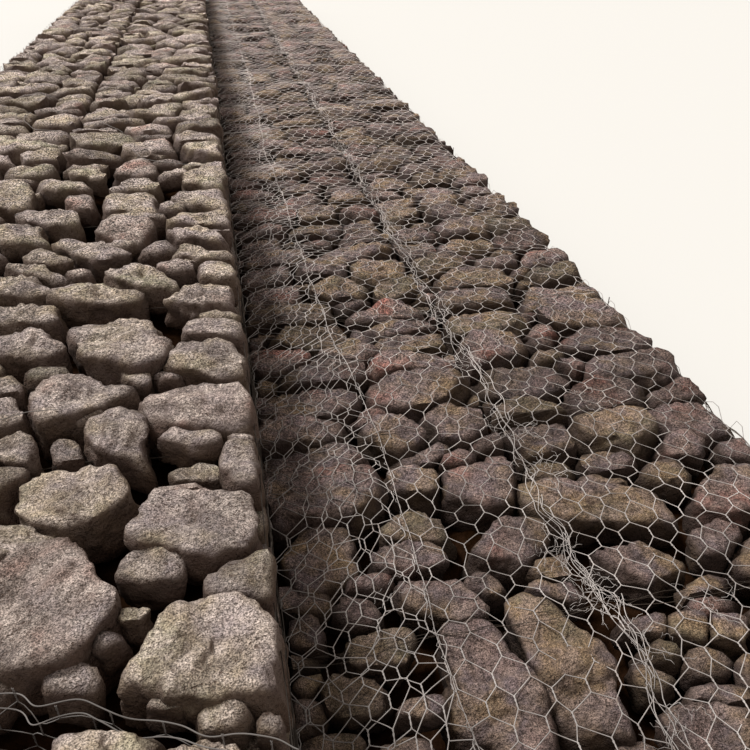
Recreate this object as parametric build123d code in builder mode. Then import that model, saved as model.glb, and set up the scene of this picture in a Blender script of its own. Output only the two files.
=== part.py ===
from build123d import *
import os

# Stone-filled wire mesh revetment in two tiers, six bays long, in millimetres.
# X runs across the bank towards the water, Y along it and Z up.
# The origin is at the middle of the base, on the ground.

# Driving dimensions
bay_length = 3000.0
bays = 6
cell_length = 1000.0
strip_width = 2000.0
mattress_depth = 300.0
upper_height = 500.0
lid_strip_width = 1000.0
lap_width = 460.0

# Wire sizes: the edge wire with the mesh ends wound round it, and the woven mesh
edge_wire = 8.0
mesh_wire = 5.0
mesh_width = 100.0
mesh_pitch = 80.0
twist_length = 40.0

# Seam that laces the lid down its middle: two side wires and the wire that zigzags between them
seam_half_width = 22.0
seam_pitch = 1000.0
clearance = 0.5

# Shape of the packed stone
fill_gap = 10.0
fill_dip = 15.0
lid_crown = 35.0
top_crown = 25.0
side_bulge = 25.0
end_rise = 3.0

# Worked out from the values above
run_length = bay_length * bays
half_run = run_length / 2
upper_base = mattress_depth
upper_top = mattress_depth + upper_height
upper_stagger = bay_length / 2
lower_joints = [bay_length * n - half_run for n in range(bays + 1)]
upper_joints = [-half_run] + [y + upper_stagger for y in lower_joints[:-1]] + [half_run]
seam_level = mattress_depth + edge_wire / 2 + clearance
cell_joints = [cell_length * n - half_run for n in range(int(run_length / cell_length) + 1)]
upper_cell_joints = [y + cell_length / 2 for y in cell_joints[:-1]]

os.makedirs("parts", exist_ok=True)


def side_line(x, foot, edge, outward):
    """One side of a cell's outline, upwards: where its mesh is free it swells between two wires."""
    if not outward:
        return [(x, edge)]
    rise = (edge - foot) / 3
    return [(x, foot), (x + outward, foot + rise), (x + outward, edge - rise), (x, edge)]


def stone_fill(width, length, base, top, crown, left_bulge=0.0, right_bulge=0.0):
    """The stone packed into one cell, centred on X and Y.

    A crowned top is level over its middle half and falls from there to all four edges.
    """
    x, y = width / 2 - fill_gap, length / 2 - fill_gap
    foot = base + 2.5 * edge_wire
    edge, peak = (top - fill_dip, top + crown) if crown else (top, top)
    right = side_line(x, foot, edge, right_bulge)
    left = side_line(-x, foot, edge, -left_bulge)[::-1]
    brow = [(x / 2, peak), (-x / 2, peak)] if crown else []
    with BuildPart() as cell:
        with BuildSketch(Plane.XZ):
            with BuildLine():
                Polyline((x, base), *right, *brow, *left, (-x, base), close=True)
            make_face()
        extrude(amount=y, both=True)
        if crown:
            low, high = edge + end_rise, peak + end_rise
            with BuildSketch(Plane.YZ):
                with BuildLine():
                    Polyline(
                        (-y, base), (y, base), (y, low), (y / 2, high), (-y / 2, high), (-y, low),
                        close=True,
                    )
                make_face()
            extrude(amount=width, both=True, mode=Mode.INTERSECT)
    return cell.part


def cells_between(joints, start, end):
    """The cells that lie from start to end, as pairs of their two ends."""
    inside = sorted({start, end} | {y for y in joints if start < y < end})
    return list(zip(inside[:-1], inside[1:]))


def mesh_panel(width, height):
    """A flat panel of woven mesh, standing in the XZ plane, with its twists upright.

    Alternate rows of six-sided openings are set half a mesh across. Next to the top edge the
    slivers of a last row stay closed, where the mesh ends are wound round the edge wire.
    """
    columns = round(width / mesh_width)
    half_rows = round(2 * height / mesh_pitch)
    step_x, step_z = width / columns, 2 * height / half_rows
    half_x = (step_x - mesh_wire) / 2
    half_twist = twist_length / 2
    half_tip = step_z - half_twist - mesh_wire / 2
    outline = [
        (half_x, half_twist), (0, half_tip), (-half_x, half_twist),
        (-half_x, -half_twist), (0, -half_tip), (half_x, -half_twist),
    ]
    centres = []
    for row in range(half_rows // 2 + 1):
        shift = step_x / 2 if row % 2 else 0.0
        for column in range(columns + 2):
            centres.append((shift + (column - 0.5) * step_x - width / 2, row * step_z - height / 2))
    with BuildSketch(Plane.XZ) as openings:
        with Locations(*centres):
            Polygon(*outline)
        Rectangle(width - 2 * mesh_wire, height - 2 * mesh_wire, mode=Mode.INTERSECT)
    with BuildPart() as panel:
        with BuildSketch(Plane.XZ):
            Rectangle(width, height)
            add(openings.sketch, mode=Mode.SUBTRACT)
        extrude(amount=mesh_wire / 2, both=True)
    return panel.part


# Stone fill of the outer mattress strip, under the lid, one node to each bay
outer_cells = {
    "inshore": stone_fill(lid_strip_width, cell_length, 0, mattress_depth, lid_crown),
    "offshore": stone_fill(
        lid_strip_width, cell_length, 0, mattress_depth, lid_crown, right_bulge=side_bulge
    ),
}
inner_cell = stone_fill(strip_width, cell_length, 0, mattress_depth, 0, left_bulge=side_bulge)

for bay in range(bays):
    start = lower_joints[bay]
    spans = cells_between(cell_joints, start, start + bay_length)
    with BuildPart() as outer_fill:
        for low, high in spans:
            with Locations((lid_strip_width / 2, (low + high) / 2)):
                add(outer_cells["inshore"])
            with Locations((1.5 * lid_strip_width, (low + high) / 2)):
                add(outer_cells["offshore"])
    outer_fill.part.label = f"outer_mattress_fill_{bay + 1}"
    export_step(outer_fill.part, f"parts/outer_mattress_fill_{bay + 1}.step")

    with BuildPart() as inner_fill:
        for low, high in spans:
            with Locations((-strip_width / 2, (low + high) / 2)):
                add(inner_cell)
    inner_fill.part.label = f"inner_mattress_fill_{bay + 1}"
    export_step(inner_fill.part, f"parts/inner_mattress_fill_{bay + 1}.step")

# Stone fill of the upper tier, open at the top, with its joints half a bay along
for box, (start, end) in enumerate(zip(upper_joints[:-1], upper_joints[1:]), start=1):
    with BuildPart() as upper_fill:
        for low, high in cells_between(upper_cell_joints, start, end):
            front = stone_fill(
                strip_width / 2, high - low, upper_base, upper_top, top_crown,
                right_bulge=side_bulge / 2,
            )
            back = stone_fill(
                strip_width / 2, high - low, upper_base, upper_top, top_crown,
                left_bulge=side_bulge,
            )
            with Locations((-strip_width / 4, (low + high) / 2)):
                add(front)
            with Locations((-0.75 * strip_width, (low + high) / 2)):
                add(back)
    upper_fill.part.label = f"upper_tier_fill_{box}"
    export_step(upper_fill.part, f"parts/upper_tier_fill_{box}.step")


def box_frame(left, right, start, end, base, top, rails, joints, face_sides):
    """The edge wires of one wire box: its top grid, and the uprights and foot of each open side."""
    width, length = right - left, end - start
    with BuildPart() as frame:
        with BuildSketch(Plane.XY.offset(top - edge_wire / 2)):
            with Locations(((left + right) / 2, (start + end) / 2)):
                Rectangle(width - 1, length - 1)
                Rectangle(width - 1 - 2 * edge_wire, length - 1 - 2 * edge_wire, mode=Mode.SUBTRACT)
            for rail in rails:
                with Locations((rail, (start + end) / 2)):
                    Rectangle(edge_wire, length - 2 * edge_wire)
            for joint in joints:
                with Locations(((left + right) / 2, joint)):
                    Rectangle(width - 2 * edge_wire, edge_wire)
        extrude(amount=edge_wire)
        for side in face_sides:
            inset = (edge_wire + 1) / 2
            x = right - inset if side > 0 else left + inset
            posts = [start + inset, end - inset] + list(joints)
            with BuildSketch(Plane.XY.offset(base)):
                with Locations(*[(x, y) for y in posts]):
                    Rectangle(edge_wire, edge_wire)
            extrude(amount=top - base)
            with BuildSketch(Plane.XY.offset(base)):
                with Locations((x, (start + end) / 2)):
                    Rectangle(edge_wire, length - 1)
            extrude(amount=edge_wire)
    return frame.part


# Edge wires of each mattress box with its lid, and of each open box above
for bay in range(bays):
    start = lower_joints[bay]
    inner_joints = [y for y in cell_joints if start < y < start + bay_length]
    lid_frame = box_frame(
        0, strip_width, start, start + bay_length, edge_wire, mattress_depth,
        rails=[lid_strip_width], joints=inner_joints, face_sides=[1],
    )
    lid_frame.label = f"lid_frame_{bay + 1}"
    export_step(lid_frame, f"parts/lid_frame_{bay + 1}.step")

for box, (start, end) in enumerate(zip(upper_joints[:-1], upper_joints[1:]), start=1):
    inner_joints = [y for y in upper_cell_joints if start < y < end]
    upper_frame = box_frame(
        -strip_width, 0, start, end, upper_base + edge_wire, upper_top,
        rails=[-strip_width / 2], joints=inner_joints, face_sides=[-1, 1],
    )
    upper_frame.label = f"upper_frame_{box}"
    export_step(upper_frame, f"parts/upper_frame_{box}.step")

# Free edge wire of the lapped lid strip, taut over the crowns of the cells and tied down at both ends
def lap_wire_line():
    """The underside of the wire from its near end to the first crown, as points (along, up)."""
    fill_end = cell_length / 2 - fill_gap
    slope_foot = mattress_depth - fill_dip + end_rise
    fall = (lid_crown + fill_dip) / (fill_end / 2)
    levels = (seam_level, mattress_depth + lid_crown + clearance)
    reach = [fill_end - (z - clearance - slope_foot) / fall for z in levels]
    slope = [(cell_length / 2 - half_run - y, z) for y, z in zip(reach, levels)]
    return [(1 - half_run, seam_level)] + slope


with BuildPart() as lap_edge_wire:
    rising = lap_wire_line()
    underside = rising + [(-y, z) for y, z in reversed(rising)]
    upper_side = [(y, z + edge_wire) for y, z in reversed(underside)]
    with BuildSketch(Plane.YZ.offset(lap_width)):
        with BuildLine():
            Polyline(*underside, *upper_side, close=True)
        make_face()
    extrude(amount=edge_wire / 2, both=True)
lap_edge_wire.part.label = "lap_edge_wire"
export_step(lap_edge_wire.part, "parts/lap_edge_wire.step")


# Laced seam down the middle of the lid, one length to each bay
def zigzag(length, half_width, pitch, thickness):
    """A wire that crosses from side to side and back once in each pitch, as a closed outline."""
    crossings = round(2 * length / pitch)
    step = length / crossings
    turns = [(half_width * (-1) ** n, n * step - length / 2) for n in range(crossings + 1)]
    left = [(x - thickness / 2, y) for x, y in turns]
    return left + [(x + thickness / 2, y) for x, y in reversed(turns)]


for bay in range(bays):
    with BuildPart() as lacing:
        with BuildSketch(Plane.XY.offset(seam_level)):
            for side in (-seam_half_width, seam_half_width):
                with Locations((side, 0)):
                    Rectangle(mesh_wire, bay_length - 1)
            with BuildLine():
                Polyline(*zigzag(bay_length - 1, seam_half_width, seam_pitch, mesh_wire), close=True)
            make_face()
        extrude(amount=mesh_wire)
    laid = Pos(lid_strip_width, lower_joints[bay] + bay_length / 2) * lacing.part
    laid.label = f"middle_lacing_{bay + 1}"
    export_step(laid, f"parts/middle_lacing_{bay + 1}.step")


# Woven mesh that closes the near end of each tier, inside the edge wires there
end_inset = edge_wire + 0.5
end_y = -half_run + end_inset / 2
panel_width = strip_width - 2 * end_inset
mattress_panel = mesh_panel(panel_width, mattress_depth - edge_wire / 2 - end_inset)
upper_panel = mesh_panel(panel_width, upper_height - edge_wire / 2 - end_inset)
mattress_middle = (mattress_depth - edge_wire / 2 + end_inset) / 2
upper_middle = upper_base + (upper_height - edge_wire / 2 + end_inset) / 2

with BuildPart() as mattress_end_mesh:
    for x in (-strip_width / 2, strip_width / 2):
        with Locations((x, end_y, mattress_middle)):
            add(mattress_panel)
mattress_end_mesh.part.label = "mattress_end_mesh_near"
export_step(mattress_end_mesh.part, "parts/mattress_end_mesh_near.step")

with BuildPart() as upper_end_mesh:
    with Locations((-strip_width / 2, end_y, upper_middle)):
        add(upper_panel)
upper_end_mesh.part.label = "upper_end_mesh_near"
export_step(upper_end_mesh.part, "parts/upper_end_mesh_near.step")
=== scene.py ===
"""Dresses a stone-filled wire mattress revetment: every stone, the woven lid, seams and lacing.

All lengths are metres. X runs across the bank, away from the land, Y along it and Z up.
"""

from functools import partial
from math import cos, pi, radians, sin, sqrt

import bpy
import numpy as np
from mathutils import Euler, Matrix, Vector


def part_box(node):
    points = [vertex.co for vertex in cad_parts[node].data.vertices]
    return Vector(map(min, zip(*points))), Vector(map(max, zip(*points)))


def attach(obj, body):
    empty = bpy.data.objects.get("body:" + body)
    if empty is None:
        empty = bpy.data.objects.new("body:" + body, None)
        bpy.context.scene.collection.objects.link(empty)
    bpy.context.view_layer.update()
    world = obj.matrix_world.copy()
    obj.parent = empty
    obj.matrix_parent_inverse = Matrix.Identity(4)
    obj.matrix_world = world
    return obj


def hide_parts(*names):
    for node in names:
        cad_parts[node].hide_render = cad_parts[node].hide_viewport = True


bl_info = {
    "name": "Gabion Mattress Dressing",
    "version": (1, 0, 0),
    "blender": (4, 5, 0),
    "location": "3D View > Sidebar > Gabion",
    "description": "Packs the wire boxes with stone and weaves, laces and finishes their mesh",
    "category": "Add Mesh",
}

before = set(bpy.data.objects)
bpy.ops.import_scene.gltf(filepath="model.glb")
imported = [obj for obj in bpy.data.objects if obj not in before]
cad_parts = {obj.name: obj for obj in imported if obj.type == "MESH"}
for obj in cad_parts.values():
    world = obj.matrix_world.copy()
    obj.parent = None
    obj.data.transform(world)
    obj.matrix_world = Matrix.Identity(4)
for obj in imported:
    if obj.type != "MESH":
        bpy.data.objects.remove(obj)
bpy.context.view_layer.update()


def joints_of(prefix, count):
    """The places along the bank where the boxes of one row meet, from first end to last."""
    boxes = [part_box(f"{prefix}_{n + 1}") for n in range(count)]
    return [round(boxes[0][0].y, 2)] + [round(high.y, 2) for _, high in boxes]


BAYS = 6
lower_joints = joints_of("lid_frame", BAYS)
upper_joints = joints_of("upper_frame", BAYS + 1)
RUN_START, RUN_END = lower_joints[0], lower_joints[-1]
WATER_EDGE = round(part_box("lid_frame_1")[1].x, 2)
LAND_EDGE = round(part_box("upper_frame_1")[0].x, 2)
FACE = 0.0
LID_SEAM = WATER_EDGE / 2
LID_LEVEL = round(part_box("inner_mattress_fill_1")[1].z, 2)
TOP_LEVEL = round(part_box("upper_frame_1")[1].z, 2)
CELL = 1.0
LAP_EDGE = 0.46
ACROSS, ALONG, UP = np.eye(3)

# How far along nets and wires are drawn finely, and then fairly finely
CLOSE_END, MIDDLE_END = RUN_START + 1.55, RUN_START + 5.0

# What each step adds to the seed, so that its random draws are its own
UPPER_DRAWS, MATTRESS_DRAWS, RUBBLE_DRAWS, LID_DRAWS = 100, 200, 300, 400
FACE_DRAWS, EDGE_DRAWS, LACING_DRAWS = 500, 600, 700

# How far the faces' stones stop below a tier's top, and the rubble lies below it
UPPER_FACE_DROP, MATTRESS_FACE_DROP = 0.15, 0.12
UPPER_RUBBLE_DROP, MATTRESS_RUBBLE_DROP, RUBBLE_INSET = 0.20, 0.15, 0.10

# Flats kept for each stone: shorter lists are filled up with flats that face nowhere
FLATS = 32
# A stone's facets keep a crease where they turn by more than this
CREASE = radians(66)
# Grime and painted shade start this far below the level of a face, and are full this much deeper
GRIME_AND_SHADE_START, GRIME_AND_SHADE_DEPTH = 0.020, 0.11

# The photograph's camera, set out from the near end of the run
PHOTO_SIZE = 750
EYE = np.array([-0.022, RUN_START - 0.4, LID_LEVEL + 1.87])
EYE_PITCH, EYE_YAW = radians(32.5), radians(11.6)
FOCAL_PIXELS = 751.0
GAZE = np.array([sin(EYE_YAW) * cos(EYE_PITCH), cos(EYE_YAW) * cos(EYE_PITCH), -sin(EYE_PITCH)])
GAZE_RIGHT = np.array([cos(EYE_YAW), -sin(EYE_YAW), 0.0])
GAZE_UP = np.cross(GAZE_RIGHT, GAZE)


class GabionStone(bpy.types.PropertyGroup):
    """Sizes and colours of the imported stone."""

    seed: bpy.props.IntProperty(name="Seed", description="Which packing of stones is laid", default=11)
    joint: bpy.props.FloatProperty(
        name="Joint", description="Gap left between neighbouring stones", default=0.014, unit="LENGTH"
    )
    upper_colour: bpy.props.FloatVectorProperty(
        name="Upper stone", description="Main colour of the laid stone", subtype="COLOR",
        default=(0.285, 0.232, 0.198), min=0.0, max=1.0,
    )
    lower_colour: bpy.props.FloatVectorProperty(
        name="Mattress stone", description="Main colour of the stone under the lid", subtype="COLOR",
        default=(0.120, 0.082, 0.065), min=0.0, max=1.0,
    )


class GabionWire(bpy.types.PropertyGroup):
    """Sizes and colour of the woven mesh and its lacing."""

    radius: bpy.props.FloatProperty(
        name="Wire radius", description="Half the thickness of the coated mesh wire", default=0.0016,
        unit="LENGTH", precision=4,
    )
    edge_radius: bpy.props.FloatProperty(
        name="Edge wire radius", description="Half the thickness of the edge wire", default=0.0027,
        unit="LENGTH", precision=4,
    )
    mesh_width: bpy.props.FloatProperty(
        name="Mesh width", description="Opening between two twists, across the wires", default=0.100,
        unit="LENGTH",
    )
    mesh_pitch: bpy.props.FloatProperty(
        name="Mesh pitch", description="From one row of twists to the next", default=0.082, unit="LENGTH"
    )
    twist_length: bpy.props.FloatProperty(
        name="Twist length", description="Length over which two wires are twisted", default=0.040,
        unit="LENGTH",
    )
    colour: bpy.props.FloatVectorProperty(
        name="Wire", description="Dull zinc coating", subtype="COLOR", default=(0.500, 0.462, 0.440),
        min=0.0, max=1.0,
    )


def draws(settings, step):
    """The random draws of one step of the work, the same each time for the same seed."""
    return np.random.default_rng(settings.seed + step)


# Shapes from arrays


def cube_ball(cuts):
    """Unit directions over a cube pushed out to a ball, and the quads between them.

    A face coordinate is tan(s * pi / 4), with s in even steps from -1 to 1.
    """
    steps = np.arange(cuts + 1)
    corner = np.stack(np.meshgrid(steps, steps, steps, indexing="ij"), -1).reshape(-1, 3)
    skin = ((corner == 0) | (corner == cuts)).any(axis=1)
    number = np.full(len(corner), -1)
    number[skin] = np.arange(skin.sum())
    number = number.reshape(cuts + 1, cuts + 1, cuts + 1)
    directions = np.tan((corner[skin] / cuts * 2 - 1) * pi / 4)
    directions /= np.linalg.norm(directions, axis=1, keepdims=True)
    quads = []
    for axis in range(3):
        for end in (0, cuts):
            grid = np.take(number, end, axis=axis)
            quad = np.stack([grid[:-1, :-1], grid[1:, :-1], grid[1:, 1:], grid[:-1, 1:]], -1).reshape(-1, 4)
            quads.append(quad if (end == cuts) != (axis == 1) else quad[:, ::-1])
    return directions, np.concatenate(quads)


def ripple(points, wavelength, rng, waves=10):
    """Smooth noise of about unit height: plane waves in random directions, added up."""
    heading = rng.normal(size=(waves, 3))
    heading /= np.linalg.norm(heading, axis=1, keepdims=True)
    beat = 2 * pi / wavelength * rng.uniform(0.6, 1.7, waves)
    phase = rng.uniform(0, 2 * pi, waves)
    return np.sin(points @ (heading * beat[:, None]).T + phase).sum(-1) / sqrt(waves / 2)


def skin_distance(normals, reach, sharpness, directions):
    """How far a stone's skin lies from its centre along each direction.

    Each flat side has an outward normal and a reach. The distance is
    (sum over sides of (max(0, normal . direction) / reach) ^ k) ^ (-1 / k),
    so a high k gives crisp arrises and a low k a worn boulder.
    """
    facing = np.maximum(np.matmul(normals, np.swapaxes(directions, -1, -2)), 0.0)
    power = sharpness[:, None, None]
    return ((facing / reach[..., None]) ** power).sum(axis=1) ** (-1 / sharpness[:, None])


def tubes(paths, radius, sides, up):
    """Round wires along paths: at each point a ring in the plane square to the path.

    paths is wires x points x 3. The ring is radius * (cos t * side + sin t * top), with side
    along tangent x up, and both ends are capped.
    """
    wires, count = paths.shape[:2]
    tangent = np.gradient(paths, axis=1)
    tangent /= np.linalg.norm(tangent, axis=2, keepdims=True) + 1e-12
    side = np.cross(tangent, np.broadcast_to(up, paths.shape))
    side /= np.linalg.norm(side, axis=2, keepdims=True) + 1e-12
    top = np.cross(side, tangent)
    turn = np.arange(sides) * 2 * pi / sides
    thick = np.broadcast_to(radius, (wires, count))[..., None, None]
    ring = np.cos(turn)[:, None] * side[:, :, None] + np.sin(turn)[:, None] * top[:, :, None]
    points = (paths[:, :, None] + thick * ring).reshape(-1, 3)
    number = np.arange(wires * count * sides).reshape(wires, count, sides)
    after = np.roll(number, -1, axis=2)
    walls = np.stack([number[:, :-1], after[:, :-1], after[:, 1:], number[:, 1:]], -1).reshape(-1, 4)
    caps = np.concatenate([number[:, 0, ::-1], number[:, -1]])
    return points, [walls[:, ::-1], caps[:, ::-1]]


def gather(parts):
    """Several meshes as one: points end to end, with each face list shifted to match."""
    points, faces, start = [], [], 0
    for some_points, some_faces in parts:
        points.append(some_points)
        faces += [face + start for face in some_faces]
        start += len(some_points)
    return np.concatenate(points), faces


def add_piece(name, points, faces, material, tones=None):
    """Makes a mesh object from arrays of points and faces and rides it on the root body.

    With tones it is stone, which keeps its creases.
    """
    mesh = bpy.data.meshes.new(name)
    mesh.vertices.add(len(points))
    mesh.vertices.foreach_set("co", np.ascontiguousarray(points, dtype=np.float32).ravel())
    corners = np.concatenate([face.ravel() for face in faces])
    totals = np.concatenate([np.full(len(face), face.shape[1]) for face in faces])
    mesh.loops.add(len(corners))
    mesh.loops.foreach_set("vertex_index", corners.astype(np.int32))
    mesh.polygons.add(len(totals))
    mesh.polygons.foreach_set("loop_start", (np.cumsum(totals) - totals).astype(np.int32))
    mesh.polygons.foreach_set("use_smooth", np.full(len(totals), True))
    mesh.update(calc_edges=True)
    if tones is not None:
        mesh.set_sharp_from_angle(angle=CREASE)
        attribute = mesh.attributes.new("stone_tone", "FLOAT_COLOR", "POINT")
        attribute.data.foreach_set("color", np.ascontiguousarray(tones, dtype=np.float32).ravel())
    mesh.materials.append(material)
    piece = bpy.data.objects.new(name, mesh)
    bpy.context.scene.collection.objects.link(piece)
    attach(piece, "root")
    return piece


# Packing stone


class Course:
    """One way of laying stone: the usual width and row depth, how thick, crisp, proud and tilted."""

    def __init__(self, width, row, depth, sharp, proud, tilt=0.07, pins=6.0, draft=(-0.10, 0.40)):
        self.width = width
        self.row = row
        self.depth = depth
        self.sharp = sharp
        self.proud = proud
        self.tilt = tilt
        self.pins = pins
        self.draft = draft
        self.stretch = np.array([width, row]) / sqrt(width * row)


LAID_TOP = Course(width=0.37, row=0.225, depth=(0.13, 0.20), sharp=(18, 36), proud=0.020)
MATTRESS_TOP = Course(
    width=0.39, row=0.250, depth=(0.12, 0.18), sharp=(16, 32), proud=0.020, tilt=0.08, pins=9.0
)
LAID_FACE = Course(width=0.38, row=0.19, depth=(0.14, 0.20), sharp=(16, 30), proud=0.008, tilt=0.04, pins=2.0)
MATTRESS_FACE = Course(
    width=0.34, row=0.15, depth=(0.12, 0.16), sharp=(14, 26), proud=0.008, tilt=0.04, pins=2.0
)


class Stones:
    """Stones as arrays: centres, the flat sides that bound each one, and their tones."""

    def __init__(self):
        self.lots = []

    def add(self, centres, normals, reach, sharp, size, tone, shade_from, shade_normal):
        """Adds one lot; shade_from and shade_normal give the face from which grime and painted shade deepen.
        """
        spare = FLATS - normals.shape[1]
        normals = np.concatenate([normals, np.zeros((len(centres), spare, 3))], axis=1)
        reach = np.concatenate([reach, np.full((len(centres), spare), 1.0)], axis=1)
        outer = np.broadcast_to(shade_normal, centres.shape)
        level = np.full(len(centres), shade_from)
        self.lots.append((centres, normals, reach, sharp, size, tone, outer, level))

    def arrays(self):
        return [np.concatenate(column) for column in zip(*self.lots)]

    def tops(self):
        """Points over every stone at one even fineness, raised to clear its swells, to drape a net on."""
        centres, normals, reach, sharp, size, *_ = self.arrays()
        directions, _ = cube_ball(12)
        distance = skin_distance(normals, reach, sharp, directions)
        clear = 0.016 * size[:, None, None] * UP
        return (centres[:, None] + distance[..., None] * directions + clear).reshape(-1, 3)


def seen_pixels(centres, size):
    """How many of the photograph's pixels each stone spans, and nought for one out of view.

    That is its size over its depth along the gaze, times the focal length in pixels.
    """
    ray = centres - EYE
    depth = np.maximum(ray @ GAZE, 0.05)
    sideways = np.abs(ray @ GAZE_RIGHT) / depth * FOCAL_PIXELS
    upward = np.abs(ray @ GAZE_UP) / depth * FOCAL_PIXELS
    spread = size / depth * FOCAL_PIXELS
    margin = PHOTO_SIZE / 2 + spread / 2
    return np.where((ray @ GAZE > 0.2) & (sideways < margin) & (upward < margin), spread, 0.0)


CUT_LEVELS = np.array([3, 4, 6, 9, 13, 18, 24, 32])


def build_stones(stones, rng, base_cuts=3, fineness=8.6):
    """Skins every stone, with more facets where the photograph shows it larger.

    The skin is pushed out by ripples of falling size and by ledges, tanh(3 ripple).
    """
    centres, normals, reach, sharp, size, tone, outer, level = stones.arrays()
    wanted = np.maximum(seen_pixels(centres, size) / fineness, base_cuts)
    cuts = CUT_LEVELS[np.minimum(np.searchsorted(CUT_LEVELS, wanted - 0.5), len(CUT_LEVELS) - 1)]
    parts, tones = [], []
    for level_cuts in np.unique(cuts):
        pick = cuts == level_cuts
        directions, quads = cube_ball(level_cuts)
        distance = skin_distance(normals[pick], reach[pick], sharp[pick], directions)
        body = centres[pick][:, None] + distance[..., None] * directions
        swell = 0.024 * size[pick][:, None] * ripple(body, 0.24, rng)
        swell += 0.0035 * ripple(body, 0.070, rng) + 0.005 * np.tanh(3 * ripple(body, 0.20, rng))
        # Only a stone with many facets can carry the finest ripple
        if level_cuts >= 13:
            swell += 0.0016 * ripple(body, 0.030, rng, 16)
        body += swell[..., None] * directions
        body[..., 2] = np.maximum(body[..., 2], 0.002)
        number = np.arange(pick.sum())[:, None, None] * len(directions)
        parts.append((body.reshape(-1, 3), [(quads[None] + number).reshape(-1, 4)]))
        # Grime and painted shade: darker the deeper a point lies below its face's level
        sunk = level[pick][:, None] - (body * outer[pick][:, None]).sum(-1)
        grime_and_shade = np.clip((sunk - GRIME_AND_SHADE_START) / GRIME_AND_SHADE_DEPTH, 0.0, 1.0)
        each = np.broadcast_to(tone[pick][:, None, :], (*grime_and_shade.shape, 2))
        tones.append(np.concatenate([each, grime_and_shade[..., None], np.ones((*grime_and_shade.shape, 1))], -1).reshape(-1, 4))
    points, faces = gather(parts)
    return points, faces, np.concatenate(tones)


def shares(rng, low, high, usual, spread):
    """Splits a length into parts near a usual size, as their ends."""
    count = max(int(round((high - low) / usual * rng.uniform(0.88, 1.18))), 1)
    parts = rng.uniform(1 - spread, 1 + spread, count)
    return low + np.concatenate([[0.0], np.cumsum(parts)]) / parts.sum() * (high - low)


def rows_of(rng, low, high, course):
    """Stones in rough rows across a cell, as discs (x, y, radius) in ground that is unstretched.

    A disc's radius is a quarter of its stone's unstretched width and row depth added up.
    """
    discs = []
    ends = shares(rng, low[1], high[1], course.row, 0.28)
    for near, far in zip(ends[:-1], ends[1:]):
        sides = shares(rng, low[0], high[0], course.width, 0.38)
        slope = rng.normal(0, 0.05)
        for left, right in zip(sides[:-1], sides[1:]):
            x = (left + right) / 2
            y = (near + far) / 2 + slope * (x - (low[0] + high[0]) / 2) + rng.normal(0, 0.09) * (far - near)
            radius = 0.25 * ((right - left) / course.stretch[0] + (far - near) / course.stretch[1])
            discs.append((x / course.stretch[0], y / course.stretch[1], radius))
    return discs


def settle(rng, low, high, course, taken):
    """Where a cell's stones stand: listed ones, then rows where there is room, then pinning stones.

    Each pinning stone takes the best of 40 tries, where its gap to the others is widest. Beside
    listed stones, three rounds move each other one to the middle of the ground nearest to it.
    """
    placed = [(x / course.stretch[0], y / course.stretch[1], radius) for x, y, radius in taken]
    for x, y, radius in rows_of(rng, low, high, course):
        gaps = [np.hypot(x - a, y - b) - radius - r for a, b, r in placed[: len(taken)]]
        if not gaps or min(gaps) > -0.45 * radius:
            placed.append((x, y, radius))
    low, high = low / course.stretch, high / course.stretch
    for _ in range(int(course.pins * np.prod(high - low) * rng.uniform(0.7, 1.3))):
        tries, discs, radius = rng.uniform(low, high, (40, 2)), np.array(placed), rng.uniform(0.032, 0.060)
        gap = (np.linalg.norm(tries[:, None] - discs[:, :2], axis=2) - discs[:, 2]).min(axis=1)
        placed.append((*tries[gap.argmax()], radius))
    discs = np.array(placed)
    sites, widths = discs[:, :2], discs[:, 2]
    ground = np.stack(np.meshgrid(*[np.linspace(l, h, 44) for l, h in zip(low, high)]), -1).reshape(-1, 2)
    for _ in range(3 if len(taken) else 0):
        owner = (((ground[:, None] - sites) ** 2).sum(-1) - widths**2).argmin(axis=1)
        held = np.bincount(owner, minlength=len(sites))
        for axis in range(2):
            middle = np.bincount(owner, ground[:, axis], len(sites)) / np.maximum(held, 1)
            moves = (held > 0) & (np.arange(len(sites)) >= len(taken))
            sites[:, axis] = np.where(moves, middle, sites[:, axis])
    return sites * course.stretch, widths


def chipped(local, reach, sharp, rng, chips, low, high, upward=0.6):
    """Adds chips to each stone: flats that trim its corners and arrises, some more than others.

    A flat's reach is a share, from low to high, of how far the stone stretches that way.
    """
    ways, _ = cube_ball(6)
    skin = skin_distance(local, reach, sharp, ways)[..., None] * ways
    chip = rng.normal(size=(len(local), chips, 3))
    chip[..., 2] = np.abs(chip[..., 2]) * upward
    chip /= np.linalg.norm(chip, axis=2, keepdims=True)
    extent = np.matmul(chip, np.swapaxes(skin, 1, 2)).max(axis=2)
    cut = extent * rng.uniform(low, high, extent.shape)
    return np.concatenate([local, chip], axis=1), np.concatenate([reach, cut], axis=1)


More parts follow.
